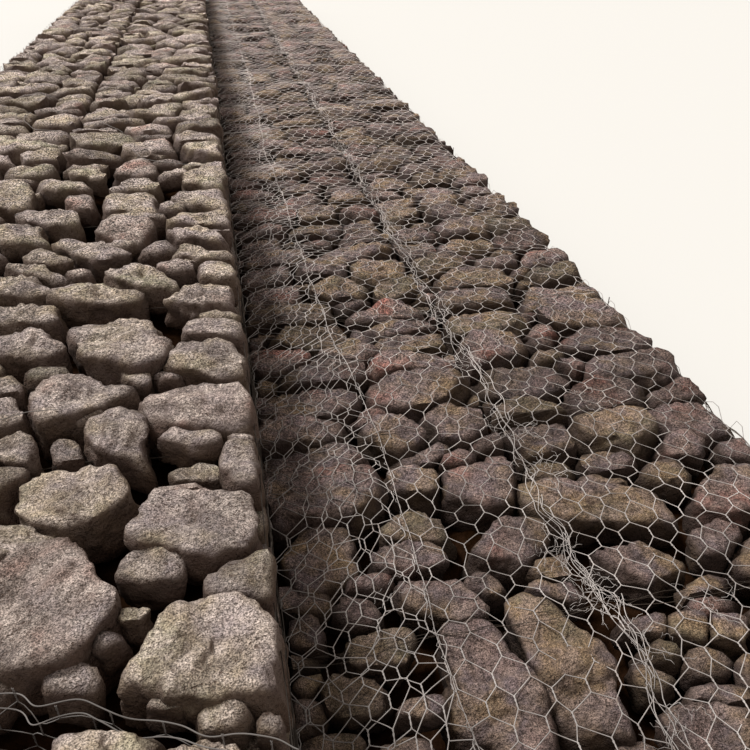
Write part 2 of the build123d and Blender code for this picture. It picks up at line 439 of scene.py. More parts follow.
def lay_cell(stones, rng, low, high, course, origin, axes, joint, crown=0.0, taken=(), gone=()):
    """Packs one rectangular cell of a face with stones that share out its ground.

    Between two stones the joint lies on their radical line: where the squared distance less the
    squared radius is equal. axes are the face's two directions and its outward normal.
    """
    low, high = np.array(low, float), np.array(high, float)
    stretch = course.stretch
    sites, radii = settle(rng, low, high, course, taken)
    count = len(sites)
    scaled = sites / stretch
    delta = scaled[None] - scaled[:, None]
    apart = np.linalg.norm(delta, axis=2) + np.eye(count) * 9.0
    share = (apart**2 + radii[:, None] ** 2 - radii[None] ** 2) / (2 * apart)
    near = np.argsort(share, axis=1)[:, : min(10, count - 1)]
    rows = np.arange(count)[:, None]
    heading = delta[rows, near] / apart[rows, near][..., None] / stretch
    length = np.linalg.norm(heading, axis=2)
    side_reach = share[rows, near] / length - joint / 2
    draft = rng.uniform(*course.draft, (*near.shape, 1))
    side = np.concatenate([heading / length[..., None], draft], axis=2)
    side /= np.linalg.norm(side, axis=2, keepdims=True)
    walls = np.concatenate([high - sites, sites - low], axis=1) - joint
    walls += rng.uniform(-0.006, 0.010, (count, 4))
    wall = np.broadcast_to([[1.0, 0, 0], [0, 1.0, 0], [-1.0, 0, 0], [0, -1.0, 0]], (count, 4, 3))
    across = np.sqrt(np.maximum(side_reach.min(axis=1), 0.02) * radii) * 2
    thick = np.clip(rng.uniform(*course.depth, count), 0.0, 0.35 * across + 0.08)
    small = radii < 0.075
    sink = np.where(small, rng.uniform(0.010, 0.045, count), rng.uniform(-course.proud, course.proud, count))
    spot = (sites - low) / (high - low) * 2 - 1
    rise = crown * (1 - spot[:, 0] ** 2) * (1 - spot[:, 1] ** 2)
    lean = np.concatenate([rng.normal(0, course.tilt, (count, 2)), np.ones((count, 1))], axis=1)
    lean /= np.linalg.norm(lean, axis=1, keepdims=True)
    caps = np.stack([lean, np.broadcast_to([0, 0, -1.0], (count, 3))], axis=1)
    local = np.concatenate([side, wall, caps], axis=1)
    reach = np.concatenate([side_reach, walls, np.repeat(thick[:, None] / 2, 2, axis=1)], axis=1)
    sharp = rng.uniform(*course.sharp, count)
    local, reach = chipped(local, np.maximum(reach, 0.014), sharp, rng, 7, 0.80, 1.0)
    keep = np.arange(count) >= len(taken)
    for x, y, radius in gone:
        keep &= np.linalg.norm(sites - [x, y], axis=1) > radius
    height = rise - sink - thick / 2
    centres = origin + sites[:, :1] * axes[0] + sites[:, 1:] * axes[1] + height[:, None] * axes[2]
    normals = local @ np.array(axes)
    level = float(origin @ axes[2])
    tone = rng.uniform(0, 1, (count, 2))
    size = 2 * radii * stretch.max()
    stones.add(
        centres[keep], normals[keep], reach[keep], sharp[keep], size[keep], tone[keep], level, axes[2]
    )


def on_level(pixels, level):
    """Where pixels of the photograph lie on a level, as places (x, y).

    A pixel's ray is the gaze times the focal length, plus its steps right of and above the middle,
    and its place is where that ray from the eye meets the level.
    """
    across, down = (np.array(pixels, float) - PHOTO_SIZE / 2).T[..., None]
    rays = GAZE * FOCAL_PIXELS + GAZE_RIGHT * across - GAZE_UP * down
    return (EYE + rays * (level - EYE[2]) / rays[:, 2:])[:, :2]


class LaidStone:
    """One listed stone: its outline seen from above, top level and tones."""

    def __init__(self, level, left, right, top, bright, hue, corners):
        self.top = level + top
        self.tone = (bright, hue)
        outline = on_level(corners, self.top)
        outline[:, 0] = np.clip(outline[:, 0], left, right)
        self.middle = (outline.max(axis=0) + outline.min(axis=0)) / 2
        self.ring = outline - self.middle
        _, ways = np.linalg.eigh(np.cov(self.ring.T))
        self.heading = ways[:, 1]
        self.short, self.long = np.ptp(self.ring @ ways, axis=0)

    def discs(self):
        """The ground it takes: discs side by side along its longer way, as (x, y, radius)."""
        count = max(int(round(self.long / self.short)), 1)
        steps = (np.arange(count) - (count - 1) / 2) * (self.long - self.short * 0.9) / max(count - 1, 1)
        return [(*(self.middle + step * self.heading), self.short * 0.52) for step in steps]

    def lay(self, stones, rng):
        """Adds it as a chipped block: a flat through each side of its outline, a top and a base.

        Rounding draws the skin in, so three rounds move each side's flat out again until the skin
        passes through the middle of that side.
        """
        edge = np.roll(self.ring, -1, axis=0) - self.ring
        halfway = self.ring + edge / 2
        length = np.linalg.norm(edge, axis=1)
        kept = length > 0.012
        edge, length, halfway = edge[kept], length[kept], halfway[kept]
        outward = np.stack([-edge[:, 1], edge[:, 0]], axis=1) / length[:, None]
        depth = min(0.07 + 0.34 * self.short, 0.20)
        side = np.concatenate([outward, rng.uniform(-0.06, 0.16, (len(edge), 1))], axis=1)
        caps = np.array([[*rng.normal(0, 0.030, 2), 1.0], [0, 0, -1.0]])
        local = np.concatenate([side, caps])
        local /= np.linalg.norm(local, axis=1, keepdims=True)
        reach = np.append((outward @ self.ring.T).max(axis=1) + 0.004, [depth / 2, depth / 2])[None]
        crisp = rng.uniform(10, 15, 1)
        wanted = np.linalg.norm(halfway, axis=1)
        ways = np.append(halfway / wanted[:, None], np.zeros((len(halfway), 1)), axis=1)
        for _ in range(3):
            short_by = wanted / skin_distance(local[None], reach, crisp, ways)[0]
            reach[0, :-2] *= np.clip(short_by, 0.97, 1.05)
        reach = np.maximum(reach * 1.035, 0.02)
        local, reach = chipped(local[None], reach, crisp, rng, 5, 0.95, 1.0, 0.5)
        centre = np.array([[*self.middle, self.top - depth / 2]])
        stones.add(centre, local, reach, crisp, np.array([self.long]), np.array([self.tone]), self.top, UP)


# Stones that the photograph shows close by: top above the tier's level, brightness and hue from 0
# to 1, and the outline of the top, clockwise, in pixels of the photograph
UPPER_LAID = [
    (0.006, 0.95, 0.35, ((182, 589), (239, 589), (268, 605), (279, 649), (291, 686), (263, 684), (182, 682),
                         (106, 692), (124, 646))),
    (0.004, 0.62, 0.90, ((-30, 545), (20, 528), (55, 528), (79, 541), (105, 574), (112, 603), (103, 617),
                         (84, 641), (60, 660), (31, 672), (-20, 680), (-50, 620))),
    (0.002, 0.55, 0.60, ((146, 486), (210, 486), (251, 488), (270, 500), (273, 541), (206, 549), (143, 544),
                         (124, 534), (134, 515), (140, 495))),
    (0.002, 0.80, 0.20, ((45, 466), (96, 463), (120, 468), (140, 483), (127, 503), (96, 519), (57, 527),
                         (22, 519), (11, 498), (19, 481))),
    (-0.030, 0.50, 0.62, ((120, 553), (134, 547), (172, 549), (182, 560), (184, 574), (167, 580), (127, 579),
                          (112, 570))),
    (-0.024, 0.45, 0.30, ((117, 608), (134, 601), (153, 605), (144, 617), (124, 622), (112, 617))),
    (-0.028, 0.50, 0.60, ((91, 632), (105, 622), (122, 627), (122, 641), (105, 650), (88, 646))),
    (-0.035, 0.55, 0.40, ((60, 658), (72, 654), (96, 663), (101, 678), (91, 692), (43, 692), (45, 675))),
    (-0.020, 0.55, 0.70, ((153, 686), (172, 687), (185, 701), (182, 710), (153, 710), (139, 703))),
    (-0.028, 0.65, 0.45, ((191, 711), (215, 701), (234, 694), (246, 703), (246, 718), (230, 729),
                          (203, 729))),
    (-0.034, 0.50, 0.65, ((258, 715), (273, 711), (297, 718), (301, 732), (282, 739), (256, 730))),
    (0.010, 0.90, 0.40, ((74, 727), (115, 723), (153, 727), (158, 738), (155, 758), (30, 758), (48, 735))),
    (-0.004, 0.70, 0.40, ((-25, 303), (57, 302), (59, 311), (52, 322), (0, 325), (-25, 322))),
    (0.006, 0.85, 0.55, ((155, 299), (182, 288), (211, 282), (232, 290), (242, 303), (193, 304))),
    (0.000, 0.75, 0.50, ((179, 322), (189, 316), (243, 318), (245, 333), (184, 334))),
    (0.012, 0.70, 0.60, ((64, 319), (96, 311), (136, 317), (163, 324), (173, 336), (164, 353), (148, 364),
                         (114, 365), (89, 358), (77, 345))),
    (0.000, 0.60, 0.25, ((171, 345), (193, 337), (229, 336), (246, 345), (250, 361), (250, 374), (227, 375),
                         (189, 371), (161, 365), (163, 356))),
    (0.000, 0.65, 0.70, ((-15, 336), (18, 327), (36, 328), (59, 340), (70, 351), (36, 356), (-12, 353))),
    (-0.020, 0.60, 0.35, ((109, 363), (125, 357), (141, 359), (152, 369), (150, 379), (141, 384),
                          (125, 376))),
    (-0.020, 0.50, 0.75, ((152, 371), (161, 368), (179, 369), (189, 376), (154, 379))),
    (0.000, 0.65, 0.55, ((34, 376), (54, 369), (93, 372), (114, 379), (139, 387), (125, 395), (100, 401),
                         (79, 408), (59, 419), (41, 422), (27, 413), (21, 395))),
    (-0.024, 0.50, 0.60, ((64, 411), (86, 403), (100, 406), (104, 411), (82, 421), (66, 419))),
    (0.006, 0.75, 0.88, ((139, 392), (161, 380), (196, 378), (238, 378), (254, 390), (257, 408), (250, 419),
                         (211, 418), (188, 426), (154, 419), (143, 404))),
    (-0.002, 0.60, 0.55, ((86, 420), (114, 406), (132, 405), (146, 415), (150, 451), (148, 458), (129, 457),
                          (107, 449), (86, 445), (77, 433))),
    (-0.012, 0.65, 0.50, ((155, 438), (170, 427), (211, 428), (221, 433), (214, 442), (188, 445))),
    (-0.004, 0.55, 0.10, ((221, 442), (239, 435), (255, 440), (264, 461), (263, 479), (232, 479),
                          (218, 461))),
    (-0.060, 0.40, 0.05, ((163, 469), (196, 461), (218, 461), (220, 481), (166, 481))),
    (0.000, 0.60, 0.40, ((-25, 436), (18, 433), (34, 444), (40, 457), (32, 461), (-25, 458))),
    (-0.010, 0.45, 0.45, ((-10, 402), (11, 397), (27, 413), (21, 421), (-10, 424))),
    (-0.014, 0.35, 0.75, ((-12, 378), (11, 374), (22, 379), (20, 392), (-12, 391))),
    (-0.045, 0.35, 0.80, ((52, 442), (68, 438), (82, 444), (84, 460), (50, 461))),
    (0.008, 0.95, 0.35, ((196, 258), (239, 259), (242, 277), (200, 279))),
    (-0.006, 0.65, 0.55, ((152, 261), (161, 258), (193, 262), (198, 267), (177, 270), (154, 266))),
    (0.008, 0.75, 0.25, ((100, 266), (111, 263), (161, 270), (179, 279), (180, 283), (161, 287), (134, 284),
                         (107, 277))),
    (0.004, 0.80, 0.35, ((164, 253), (182, 243), (234, 249), (237, 258), (205, 257), (179, 255))),
    (0.006, 0.80, 0.45, ((158, 227), (171, 224), (223, 226), (238, 238), (214, 239), (179, 235))),
    (0.002, 0.80, 0.55, ((163, 221), (179, 212), (229, 211), (231, 224), (196, 224))),
    (0.004, 0.70, 0.60, ((166, 198), (182, 191), (223, 188), (232, 204), (232, 208), (188, 204))),
    (-0.010, 0.60, 0.60, ((157, 207), (164, 202), (179, 202), (188, 208), (161, 211))),
    (0.006, 0.75, 0.25, ((193, 166), (223, 164), (230, 174), (230, 186), (180, 183), (196, 175))),
    (0.004, 0.70, 0.50, ((107, 191), (155, 191), (157, 200), (152, 215), (136, 211), (95, 207), (100, 199))),
    (-0.006, 0.75, 0.50, ((104, 189), (129, 177), (161, 183), (157, 189), (132, 190))),
    (0.002, 0.55, 0.85, ((84, 229), (114, 216), (136, 219), (150, 222), (150, 234), (138, 242), (114, 238),
                         (98, 233))),
    (0.002, 0.70, 0.35, ((34, 177), (45, 175), (82, 182), (96, 188), (63, 190), (38, 187))),
    (0.002, 0.60, 0.55, ((16, 213), (29, 205), (71, 208), (86, 222), (79, 226), (45, 220), (23, 220))),
    (0.000, 0.65, 0.30, ((-10, 181), (27, 183), (34, 191), (27, 205), (-10, 206))),
    (-0.014, 0.50, 0.80, ((64, 199), (80, 191), (96, 195), (94, 209), (71, 207))),
    (-0.002, 0.60, 0.70, ((46, 238), (75, 236), (107, 241), (136, 252), (107, 256), (93, 262), (75, 254))),
    (0.004, 0.60, 0.20, ((18, 256), (39, 246), (75, 259), (54, 264), (29, 261))),
    (0.000, 0.60, 0.20, ((-10, 221), (27, 220), (43, 231), (52, 242), (11, 243), (-10, 238))),
    (0.000, 0.65, 0.30, ((-10, 260), (21, 261), (68, 272), (68, 278), (48, 278), (11, 269))),
    (0.004, 0.75, 0.35, ((-10, 274), (32, 279), (55, 288), (54, 295), (27, 294), (-10, 297))),
    (0.004, 0.70, 0.45, ((43, 297), (68, 280), (100, 279), (125, 286), (146, 290), (150, 300), (89, 303))),
    (0.000, 0.80, 0.20, ((67, 172), (79, 167), (102, 169), (107, 177), (80, 176))),
    (-0.006, 0.45, 0.85, ((109, 172), (136, 157), (146, 157), (161, 168), (157, 173), (125, 173))),
    (0.008, 0.95, 0.45, ((118, 148), (125, 141), (170, 141), (175, 147), (139, 152))),
    (0.006, 0.90, 0.50, ((179, 144), (189, 140), (218, 141), (221, 153), (188, 148))),
    (0.004, 0.90, 0.50, ((171, 135), (180, 130), (218, 131), (222, 138), (179, 140))),
]
MATTRESS_LAID = [
    (0.012, 0.90, 0.55, ((445, 622), (480, 617), (504, 622), (518, 641), (528, 668), (544, 695), (558, 716),
                         (563, 732), (560, 756), (464, 756), (456, 708), (448, 668), (440, 641))),
    (0.014, 0.80, 0.40, ((515, 598), (539, 596), (571, 612), (593, 630), (601, 652), (619, 684), (641, 711),
                         (641, 727), (614, 728), (582, 730), (560, 713), (544, 684), (528, 654), (512, 620))),
    (0.040, 0.60, 0.85, ((408, 695), (448, 691), (451, 708), (418, 717), (390, 717))),
    (0.004, 0.75, 0.35, ((402, 582), (437, 578), (464, 585), (501, 614), (480, 617), (445, 620), (402, 606),
                         (396, 593))),
    (0.000, 0.70, 0.55, ((464, 577), (480, 566), (493, 574), (510, 588), (496, 596), (461, 585))),
    (0.000, 0.75, 0.60, ((517, 585), (534, 578), (571, 582), (593, 596), (576, 604), (544, 593))),
    (0.004, 0.80, 0.45, ((617, 614), (651, 612), (666, 612), (668, 634), (619, 630))),
    (0.004, 0.85, 0.25, ((669, 612), (710, 612), (710, 637), (670, 634))),
    (0.004, 0.80, 0.20, ((713, 612), (752, 614), (752, 641), (713, 638))),
    (0.006, 0.55, 0.65, ((480, 526), (501, 511), (534, 510), (550, 521), (550, 539), (528, 561), (501, 561),
                         (464, 558), (464, 545))),
    (0.010, 0.80, 0.25, ((515, 478), (544, 475), (587, 476), (625, 478), (662, 491), (681, 518), (651, 521),
                         (587, 518), (560, 518), (528, 507))),
    (0.006, 0.85, 0.70, ((442, 464), (480, 456), (507, 464), (515, 480), (515, 499), (480, 507), (442, 491))),
    (0.002, 0.75, 0.25, ((384, 464), (418, 460), (440, 470), (441, 488), (418, 496), (386, 488))),
    (0.008, 0.75, 0.30, ((357, 421), (378, 412), (416, 416), (432, 429), (421, 446), (389, 448), (365, 437))),
    (0.004, 0.80, 0.60, ((413, 411), (445, 403), (475, 411), (491, 424), (480, 437), (445, 435))),
    (0.012, 0.75, 0.55, ((689, 529), (716, 512), (740, 523), (742, 539), (726, 553), (700, 550))),
    (0.004, 0.65, 0.60, ((592, 550), (619, 539), (662, 547), (689, 553), (694, 566), (651, 585), (625, 574))),
    (0.004, 0.80, 0.98, ((660, 440), (676, 428), (705, 435), (705, 454), (662, 454))),
    (0.012, 0.80, 0.85, ((697, 478), (713, 464), (755, 454), (755, 512), (716, 510), (689, 502))),
    (0.010, 0.75, 0.50, ((662, 708), (700, 696), (755, 708), (755, 756), (684, 756))),
    (-0.004, 0.70, 0.10, ((627, 660), (651, 663), (676, 679), (657, 695), (641, 689))),
    (0.000, 0.60, 0.45, ((365, 550), (384, 542), (448, 542), (453, 561), (418, 571), (376, 566))),
    (0.000, 0.55, 0.10, ((376, 518), (410, 511), (451, 518), (461, 534), (443, 542), (384, 537))),
    (-0.006, 0.50, 0.15, ((335, 641), (362, 630), (410, 628), (418, 641), (408, 663), (384, 668),
                          (346, 663))),
    (-0.016, 0.50, 0.35, ((318, 684), (335, 672), (378, 676), (394, 692), (384, 716), (346, 721),
                          (322, 705))),
    (-0.010, 0.55, 0.15, ((282, 553), (300, 520), (340, 520), (360, 545), (362, 575), (330, 594),
                          (299, 598))),
    (-0.024, 0.45, 0.60, ((286, 618), (311, 615), (328, 632), (320, 648), (290, 644))),
]
# Ground left empty behind the first diaphragm: across, along and radius
BARE = [(x, RUN_START + 0.52, 0.13) for x in (-0.60, -0.80, -1.05, -1.30, -1.55)]

# The first diaphragm, half a metre along, and its crest: across, lean along the bank, rise
NEAR_WALL = RUN_START + 0.5
CREST = [
    (-2.00, 0.00, -0.01), (-1.60, 0.04, 0.01), (-1.20, 0.05, 0.02), (-0.80, 0.15, 0.02),
    (-0.57, 0.16, 0.02), (-0.50, 0.115, 0.02), (-0.42, 0.115, 0.02), (-0.34, 0.06, 0.02),
    (-0.25, 0.035, 0.02), (-0.16, -0.012, 0.02), (-0.06, -0.028, 0.01), (0.0, -0.065, 0.0),
]
# The lid's middle seam and the lap's free edge, where the photograph shows them, in its pixels
BAND_PIXELS = [
    (672, 740), (655, 690), (640, 650), (618, 620), (600, 585), (575, 555), (558, 525), (538, 507),
    (533, 467), (513, 433), (500, 413), (470, 365), (440, 310), (400, 245), (380, 215), (345, 150),
]
LAP_PIXELS = [
    (455, 690), (430, 600), (400, 500), (385, 450), (330, 340), (300, 250), (265, 150), (250, 80),
]
# Places of kinked ends on the lid: across, along from the near end, spread and number
TANGLES = [
    (1.00, 1.94, 0.040, 16), (1.03, 1.64, 0.034, 12), (0.95, 1.25, 0.034, 16), (0.975, 1.10, 0.036, 20),
    (0.98, 1.00, 0.030, 14), (1.31, 0.96, 0.034, 8), (1.02, 0.85, 0.030, 10), (0.97, 0.60, 0.034, 10),
    (1.02, 2.45, 0.050, 14), (0.36, 1.20, 0.030, 5), (1.45, 2.05, 0.034, 6), (0.40, 2.40, 0.040, 6),
    (1.00, 3.00, 0.060, 12), (1.00, 3.90, 0.060, 12), (1.00, 4.40, 0.060, 12), (1.02, 6.00, 0.070, 12),
]
# Loose wires on the upper stones: how far each one lies above the tier, and its course in pixels
STRAYS = [
    (0.03, ((31.6, 113.4), (25, 121), (36, 130), (65, 132.5))),
    (0.03, ((99.5, 121), (115, 129), (123, 133.5))),
    (0.03, ((91, 138), (91, 142), (93, 146))),
    (0.03, ((134, 150), (136.6, 153.7), (140, 157))),
    (0.03, ((143, 160), (168.9, 163.6), (193, 165))),
    (0.02, ((0, 424), (30, 418), (62, 412))),
]


def cells_between(start, end, offset):
    """The cells from start to end as pairs of ends, with joints every CELL from RUN_START + offset."""
    joints = np.arange(RUN_START + offset, RUN_END, CELL)
    ends = [start, *joints[(joints > start + 0.01) & (joints < end - 0.01)], end]
    return list(zip(ends[:-1], ends[1:]))


def lay_top(stones, rng, low, high, laid, level, course, joint, crown, gone=()):
    """Packs the top of one cell, listed stones first and others around them."""
    origin = np.array([0.0, 0.0, level])
    by = [stone for stone in laid if (np.abs(stone.middle - np.add(low, high) / 2) < CELL / 2 + 0.35).all()]
    discs = [disc for stone in by for disc in stone.discs()]
    lay_cell(stones, rng, low, high, course, origin, (ACROSS, ALONG, UP), joint, crown, discs, gone)
    for stone in by:
        if (low < stone.middle).all() and (stone.middle <= high).all():
            stone.lay(stones, rng)


def lay_long_faces(stones, rng, low, high, base, top, faces, course, joint):
    """Stones behind the long faces of one cell: each face is (x, outward sign)."""
    for x, outward in faces:
        origin = np.array([x - outward * joint, 0.0, 0.0])
        if outward > 0:
            corners, axes = ((low, base), (high, top)), (ALONG, UP, ACROSS)
        else:
            corners, axes = ((-high, base), (-low, top)), (-ALONG, UP, -ACROSS)
        lay_cell(stones, rng, *corners, course, origin, axes, joint)


def lay_ends(stones, rng, left, right, base, top, ends, course, joint):
    """Stones behind the end panels: each end is (y, outward sign)."""
    for y, outward in ends:
        origin = np.array([0.0, y - outward * joint, 0.0])
        if outward < 0:
            corners, axes = ((left, base), (right, top)), (ACROSS, UP, -ALONG)
        else:
            corners, axes = ((-right, base), (-left, top)), (-ACROSS, UP, ALONG)
        lay_cell(stones, rng, *corners, course, origin, axes, joint)


def ends_of(start, end):
    """Which ends of the run this stretch reaches, as (y, outward sign)."""
    ends = [(RUN_START, -1)] if start <= RUN_START else []
    return ends + ([(RUN_END, 1)] if end >= RUN_END else [])


def upper_stones(box, settings, rng):
    """All the stones that show in one box of the upper tier."""
    stones = Stones()
    start, end = upper_joints[box], upper_joints[box + 1]
    face_top, joint = TOP_LEVEL - UPPER_FACE_DROP, settings.joint
    laid = [LaidStone(TOP_LEVEL, LAND_EDGE, FACE - joint, *stone) for stone in UPPER_LAID]
    for low, high in cells_between(start, end, CELL / 2):
        for left, right in ((LAND_EDGE, LAND_EDGE / 2), (LAND_EDGE / 2, FACE)):
            lay_top(
                stones, rng, (left, low), (right, high), laid, TOP_LEVEL, LAID_TOP, joint, 0.012, BARE
            )
        faces = ((FACE, 1), (LAND_EDGE, -1))
        lay_long_faces(stones, rng, low, high, LID_LEVEL, face_top, faces, LAID_FACE, joint)
    for left, right in ((LAND_EDGE, LAND_EDGE / 2), (LAND_EDGE / 2, FACE)):
        lay_ends(stones, rng, left, right, LID_LEVEL, face_top, ends_of(start, end), LAID_FACE, joint)
    return stones


def mattress_stones(bay, settings, rng):
    """All the stones that show in one bay of the mattress: under the lid, and behind its faces."""
    stones = Stones()
    start, end = lower_joints[bay], lower_joints[bay + 1]
    face_top, joint = LID_LEVEL - MATTRESS_FACE_DROP, settings.joint * 0.7
    laid = [LaidStone(LID_LEVEL, FACE + joint, WATER_EDGE - joint, *stone) for stone in MATTRESS_LAID]
    for low, high in cells_between(start, end, 0.0):
        for left, right in ((FACE, LID_SEAM), (LID_SEAM, WATER_EDGE)):
            lay_top(stones, rng, (left, low), (right, high), laid, LID_LEVEL, MATTRESS_TOP, joint, 0.035)
        lay_long_faces(stones, rng, low, high, 0.0, face_top, ((WATER_EDGE, 1),), MATTRESS_FACE, joint)
        lay_long_faces(stones, rng, low, high, 0.0, LID_LEVEL, ((LAND_EDGE, -1),), MATTRESS_FACE, joint)
    for left in np.arange(LAND_EDGE, WATER_EDGE, CELL):
        top = LID_LEVEL if left < FACE else face_top
        lay_ends(stones, rng, left, left + CELL, 0.0, top, ends_of(start, end), MATTRESS_FACE, joint)
    return stones


def rubble_bed(low, high, rng, skirt):
    """The rubble that shows down between stones, painted near black as their shade: a lumpy sheet with sides
    down to a skirt.

    Its height is the level less a ripple of small stones, and its edge drops to the skirt.
    """
    counts = np.maximum(((np.array(high[:2]) - low[:2]) / 0.14).astype(int), 4)
    x = np.linspace(low[0], high[0], counts[0])
    y = np.linspace(low[1], high[1], counts[1])
    grid = np.stack(np.meshgrid(x, y, indexing="ij"), -1)
    points = np.concatenate([grid, np.full((*grid.shape[:2], 1), high[2])], -1)
    points[..., 2] += 0.016 * ripple(points, 0.16, rng) + 0.008 * ripple(points, 0.07, rng)
    points = np.pad(points, ((1, 1), (1, 1), (0, 0)), mode="edge")
    points[[0, -1], :, 2] = skirt
    points[:, [0, -1], 2] = skirt
    number = np.arange(points[..., 0].size).reshape(points.shape[:2])
    quads = np.stack([number[:-1, :-1], number[1:, :-1], number[1:, 1:], number[:-1, 1:]], -1).reshape(-1, 4)
    rim = np.concatenate([number[:, 0], number[-1, 1:], number[-2::-1, -1], number[0, -2:0:-1]])
    return points.reshape(-1, 3), [quads, rim[None, ::-1]]


# Weaving and lacing wire


def spread(grid, steps):
    """The highest value within some steps of each cell."""
    for axis in range(2):
        rolled = [np.roll(grid, shift, axis) for shift in range(-steps, steps + 1)]
        grid = np.max(rolled, axis=0)
    return grid


def blurred(grid, steps):
    """The mean within some steps of each cell."""
    for axis in range(2):
        rolled = [np.roll(grid, shift, axis) for shift in range(-steps, steps + 1)]
        grid = np.mean(rolled, axis=0)
    return grid


class Cover:
    """How high a net lies over the mattress's stones, read anywhere between grid points.

    The sheet is the mean of the highest points nearby, less 2 mm, but at least 6 mm above the stones.
    """

    step = 0.02
    # How far it is pulled down in its last steps before the outer edge
    edge_drop = np.array([0.014, 0.029, 0.048, 0.070, 0.095])

    def __init__(self, points):
        self.start = np.array([FACE, RUN_START])
        counts = np.rint((np.array([WATER_EDGE, RUN_END]) - self.start) / self.step).astype(int) + 1
        place = np.rint((points[:, :2] - self.start) / self.step).astype(int)
        inside = ((place >= 0) & (place < counts)).all(axis=1)
        tops = np.full(counts, LID_LEVEL - 0.10)
        np.maximum.at(tops, tuple(place[inside].T), points[inside, 2])
        tops = spread(tops, 1)
        self.sheet = np.maximum(blurred(spread(tops, 3), 3) - 0.002, tops + 0.006)
        self.sheet[-len(self.edge_drop):] -= self.edge_drop[:, None]

    def height(self, x, y):
        """The net's height by two-way interpolation of the grid."""
        place = (np.stack([x, y], -1) - self.start) / self.step
        place = np.clip(place, 0, np.array(self.sheet.shape) - 1.001)
        cell = place.astype(int)
        part = place - cell
        i, j = cell[..., 0], cell[..., 1]
        a, b = part[..., 0], part[..., 1]
        near = self.sheet[i, j] * (1 - a) + self.sheet[i + 1, j] * a
        far = self.sheet[i, j + 1] * (1 - a) + self.sheet[i + 1, j + 1] * a
        return near * (1 - b) + far * b


class Detail:
    """How finely a net is drawn: points and turns in a twist, points in a slant, and sides."""

    def __init__(self, twist_points, turns, slant_points, sides):
        self.twist_points = twist_points
        self.turns = turns
        self.slant_points = slant_points
        self.sides = sides


CLOSE = Detail(5, 1.5, 2, 5)
MIDDLE = Detail(3, 0.5, 1, 3)
FAR = Detail(2, 0.0, 0, 3)


class Net:
    """A twisted hexagonal net laid out flat, with every twist a little out of place."""

    def __init__(self, wire, width, length, rng, stray=0.008, up=UP):
        self.wire = wire
        self.up = up
        self.columns = int(round(width / (wire.mesh_width / 2)))
        self.rows = int(round(length / wire.mesh_pitch))
        self.half = width / self.columns
        self.pitch = (length - wire.twist_length) / self.rows
        self.stray = rng.normal(0, stray, (2, self.columns + 1, self.rows + 1))

    def strands(self, first, last, detail):
        """The wires of some rows, as wires x points x (across, along, lift).

        Wire s stands at column s + 1/2. In row j it meets a neighbour at column edge s, or s + 1
        where s + j is even. There across = edge + r cos a and lift = r sin a, with
        a = 2 pi turns t, half a turn on for the left wire. Then it slants on to the next row.
        """
        wire = np.arange(self.columns)[:, None]
        row = np.arange(first, min(last, self.rows) + 1)[None]
        left = (wire + row) % 2 == 0
        edge = wire + left
        t = np.linspace(0, 1, detail.twist_points)
        angle = 2 * pi * detail.turns * t + pi * left[..., None]
        radius = self.wire.radius * 1.05
        across = (edge * self.half + self.stray[0][edge, row])[..., None] + radius * np.cos(angle)
        along = (row * self.pitch + self.stray[1][edge, row])[..., None] + self.wire.twist_length * t
        twist = np.stack([across, along, radius * np.sin(angle) + 0 * along], -1)
        part = (np.arange(detail.slant_points) + 1) / (detail.slant_points + 1)
        start, end = twist[:, :-1, -1:], twist[:, 1:, :1]
        slant = start + (end - start) * part[:, None]
        runs = np.concatenate([twist[:, :-1], slant], axis=2)
        body = runs.reshape(self.columns, -1, 3)
        return np.concatenate([body, twist[:, -1]], axis=1)


def wavy(rng, points, size, wavelength):
    """Three-way wander of that size added to paths."""
    return points + size * np.stack([ripple(points, wavelength, rng) for _ in range(3)], -1) * 0.6


def coil(path, radius, pitch, per_turn, rng):
    """A wire wound round a path: radius * (cos a, sin a) square to it, one turn each pitch."""
    steps = np.concatenate([[0.0], np.cumsum(np.linalg.norm(np.diff(path, axis=0), axis=1))])
    count = max(int(steps[-1] / pitch * per_turn), 8)
    travelled = np.linspace(0, steps[-1], count)
    line = np.stack([np.interp(travelled, steps, path[:, axis]) for axis in range(3)], -1)
    ahead = np.gradient(line, axis=0)
    ahead /= np.linalg.norm(ahead, axis=1, keepdims=True)
    side = np.cross(ahead, UP)
    side /= np.linalg.norm(side, axis=1, keepdims=True)
    angle = travelled / pitch * 2 * pi + 0.9 * np.interp(travelled, steps, rng.normal(size=len(steps)))
    swing = radius * rng.uniform(0.75, 1.25, count)
    return line + swing[:, None] * (
        np.cos(angle)[:, None] * side + np.sin(angle)[:, None] * np.cross(side, ahead)
    )


def tangle(rng, middle, size, ends, count):
    """Short kinked ends of wire about a place, as wires x points x 3: each heading is a random walk."""
    start = middle + rng.normal(0, 1, (ends, 3)) * [size, size, 0.0]
    turns = np.cumsum(rng.normal(0, 0.5, (ends, count)), axis=1) + rng.uniform(0, 2 * pi, (ends, 1))
    pace = rng.uniform(0.5, 1.3, (ends, 1)) * size * 3.6 / count
    x = start[:, 0, None] + np.cumsum(np.cos(turns) * pace, axis=1)
    y = start[:, 1, None] + np.cumsum(np.sin(turns) * pace, axis=1)
    return np.stack([x, y, 0 * x], -1)


def curve(points, per_span):
    """A smooth path through points, each span a cubic set by its neighbours (Catmull-Rom)."""
    chain = np.concatenate([2 * points[:1] - points[1:2], points, 2 * points[-1:] - points[-2:-1]])
    a, b, c, d = chain[:-3], chain[1:-2], chain[2:-1], chain[3:]
    t = (np.arange(per_span) / per_span)[:, None, None]
    spans = 2 * b + (c - a) * t + (2 * a - 5 * b + 4 * c - d) * t**2 + (3 * b - a - 3 * c + d) * t**3
    return np.concatenate([0.5 * spans.transpose(1, 0, 2).reshape(-1, 3), points[-1:]])


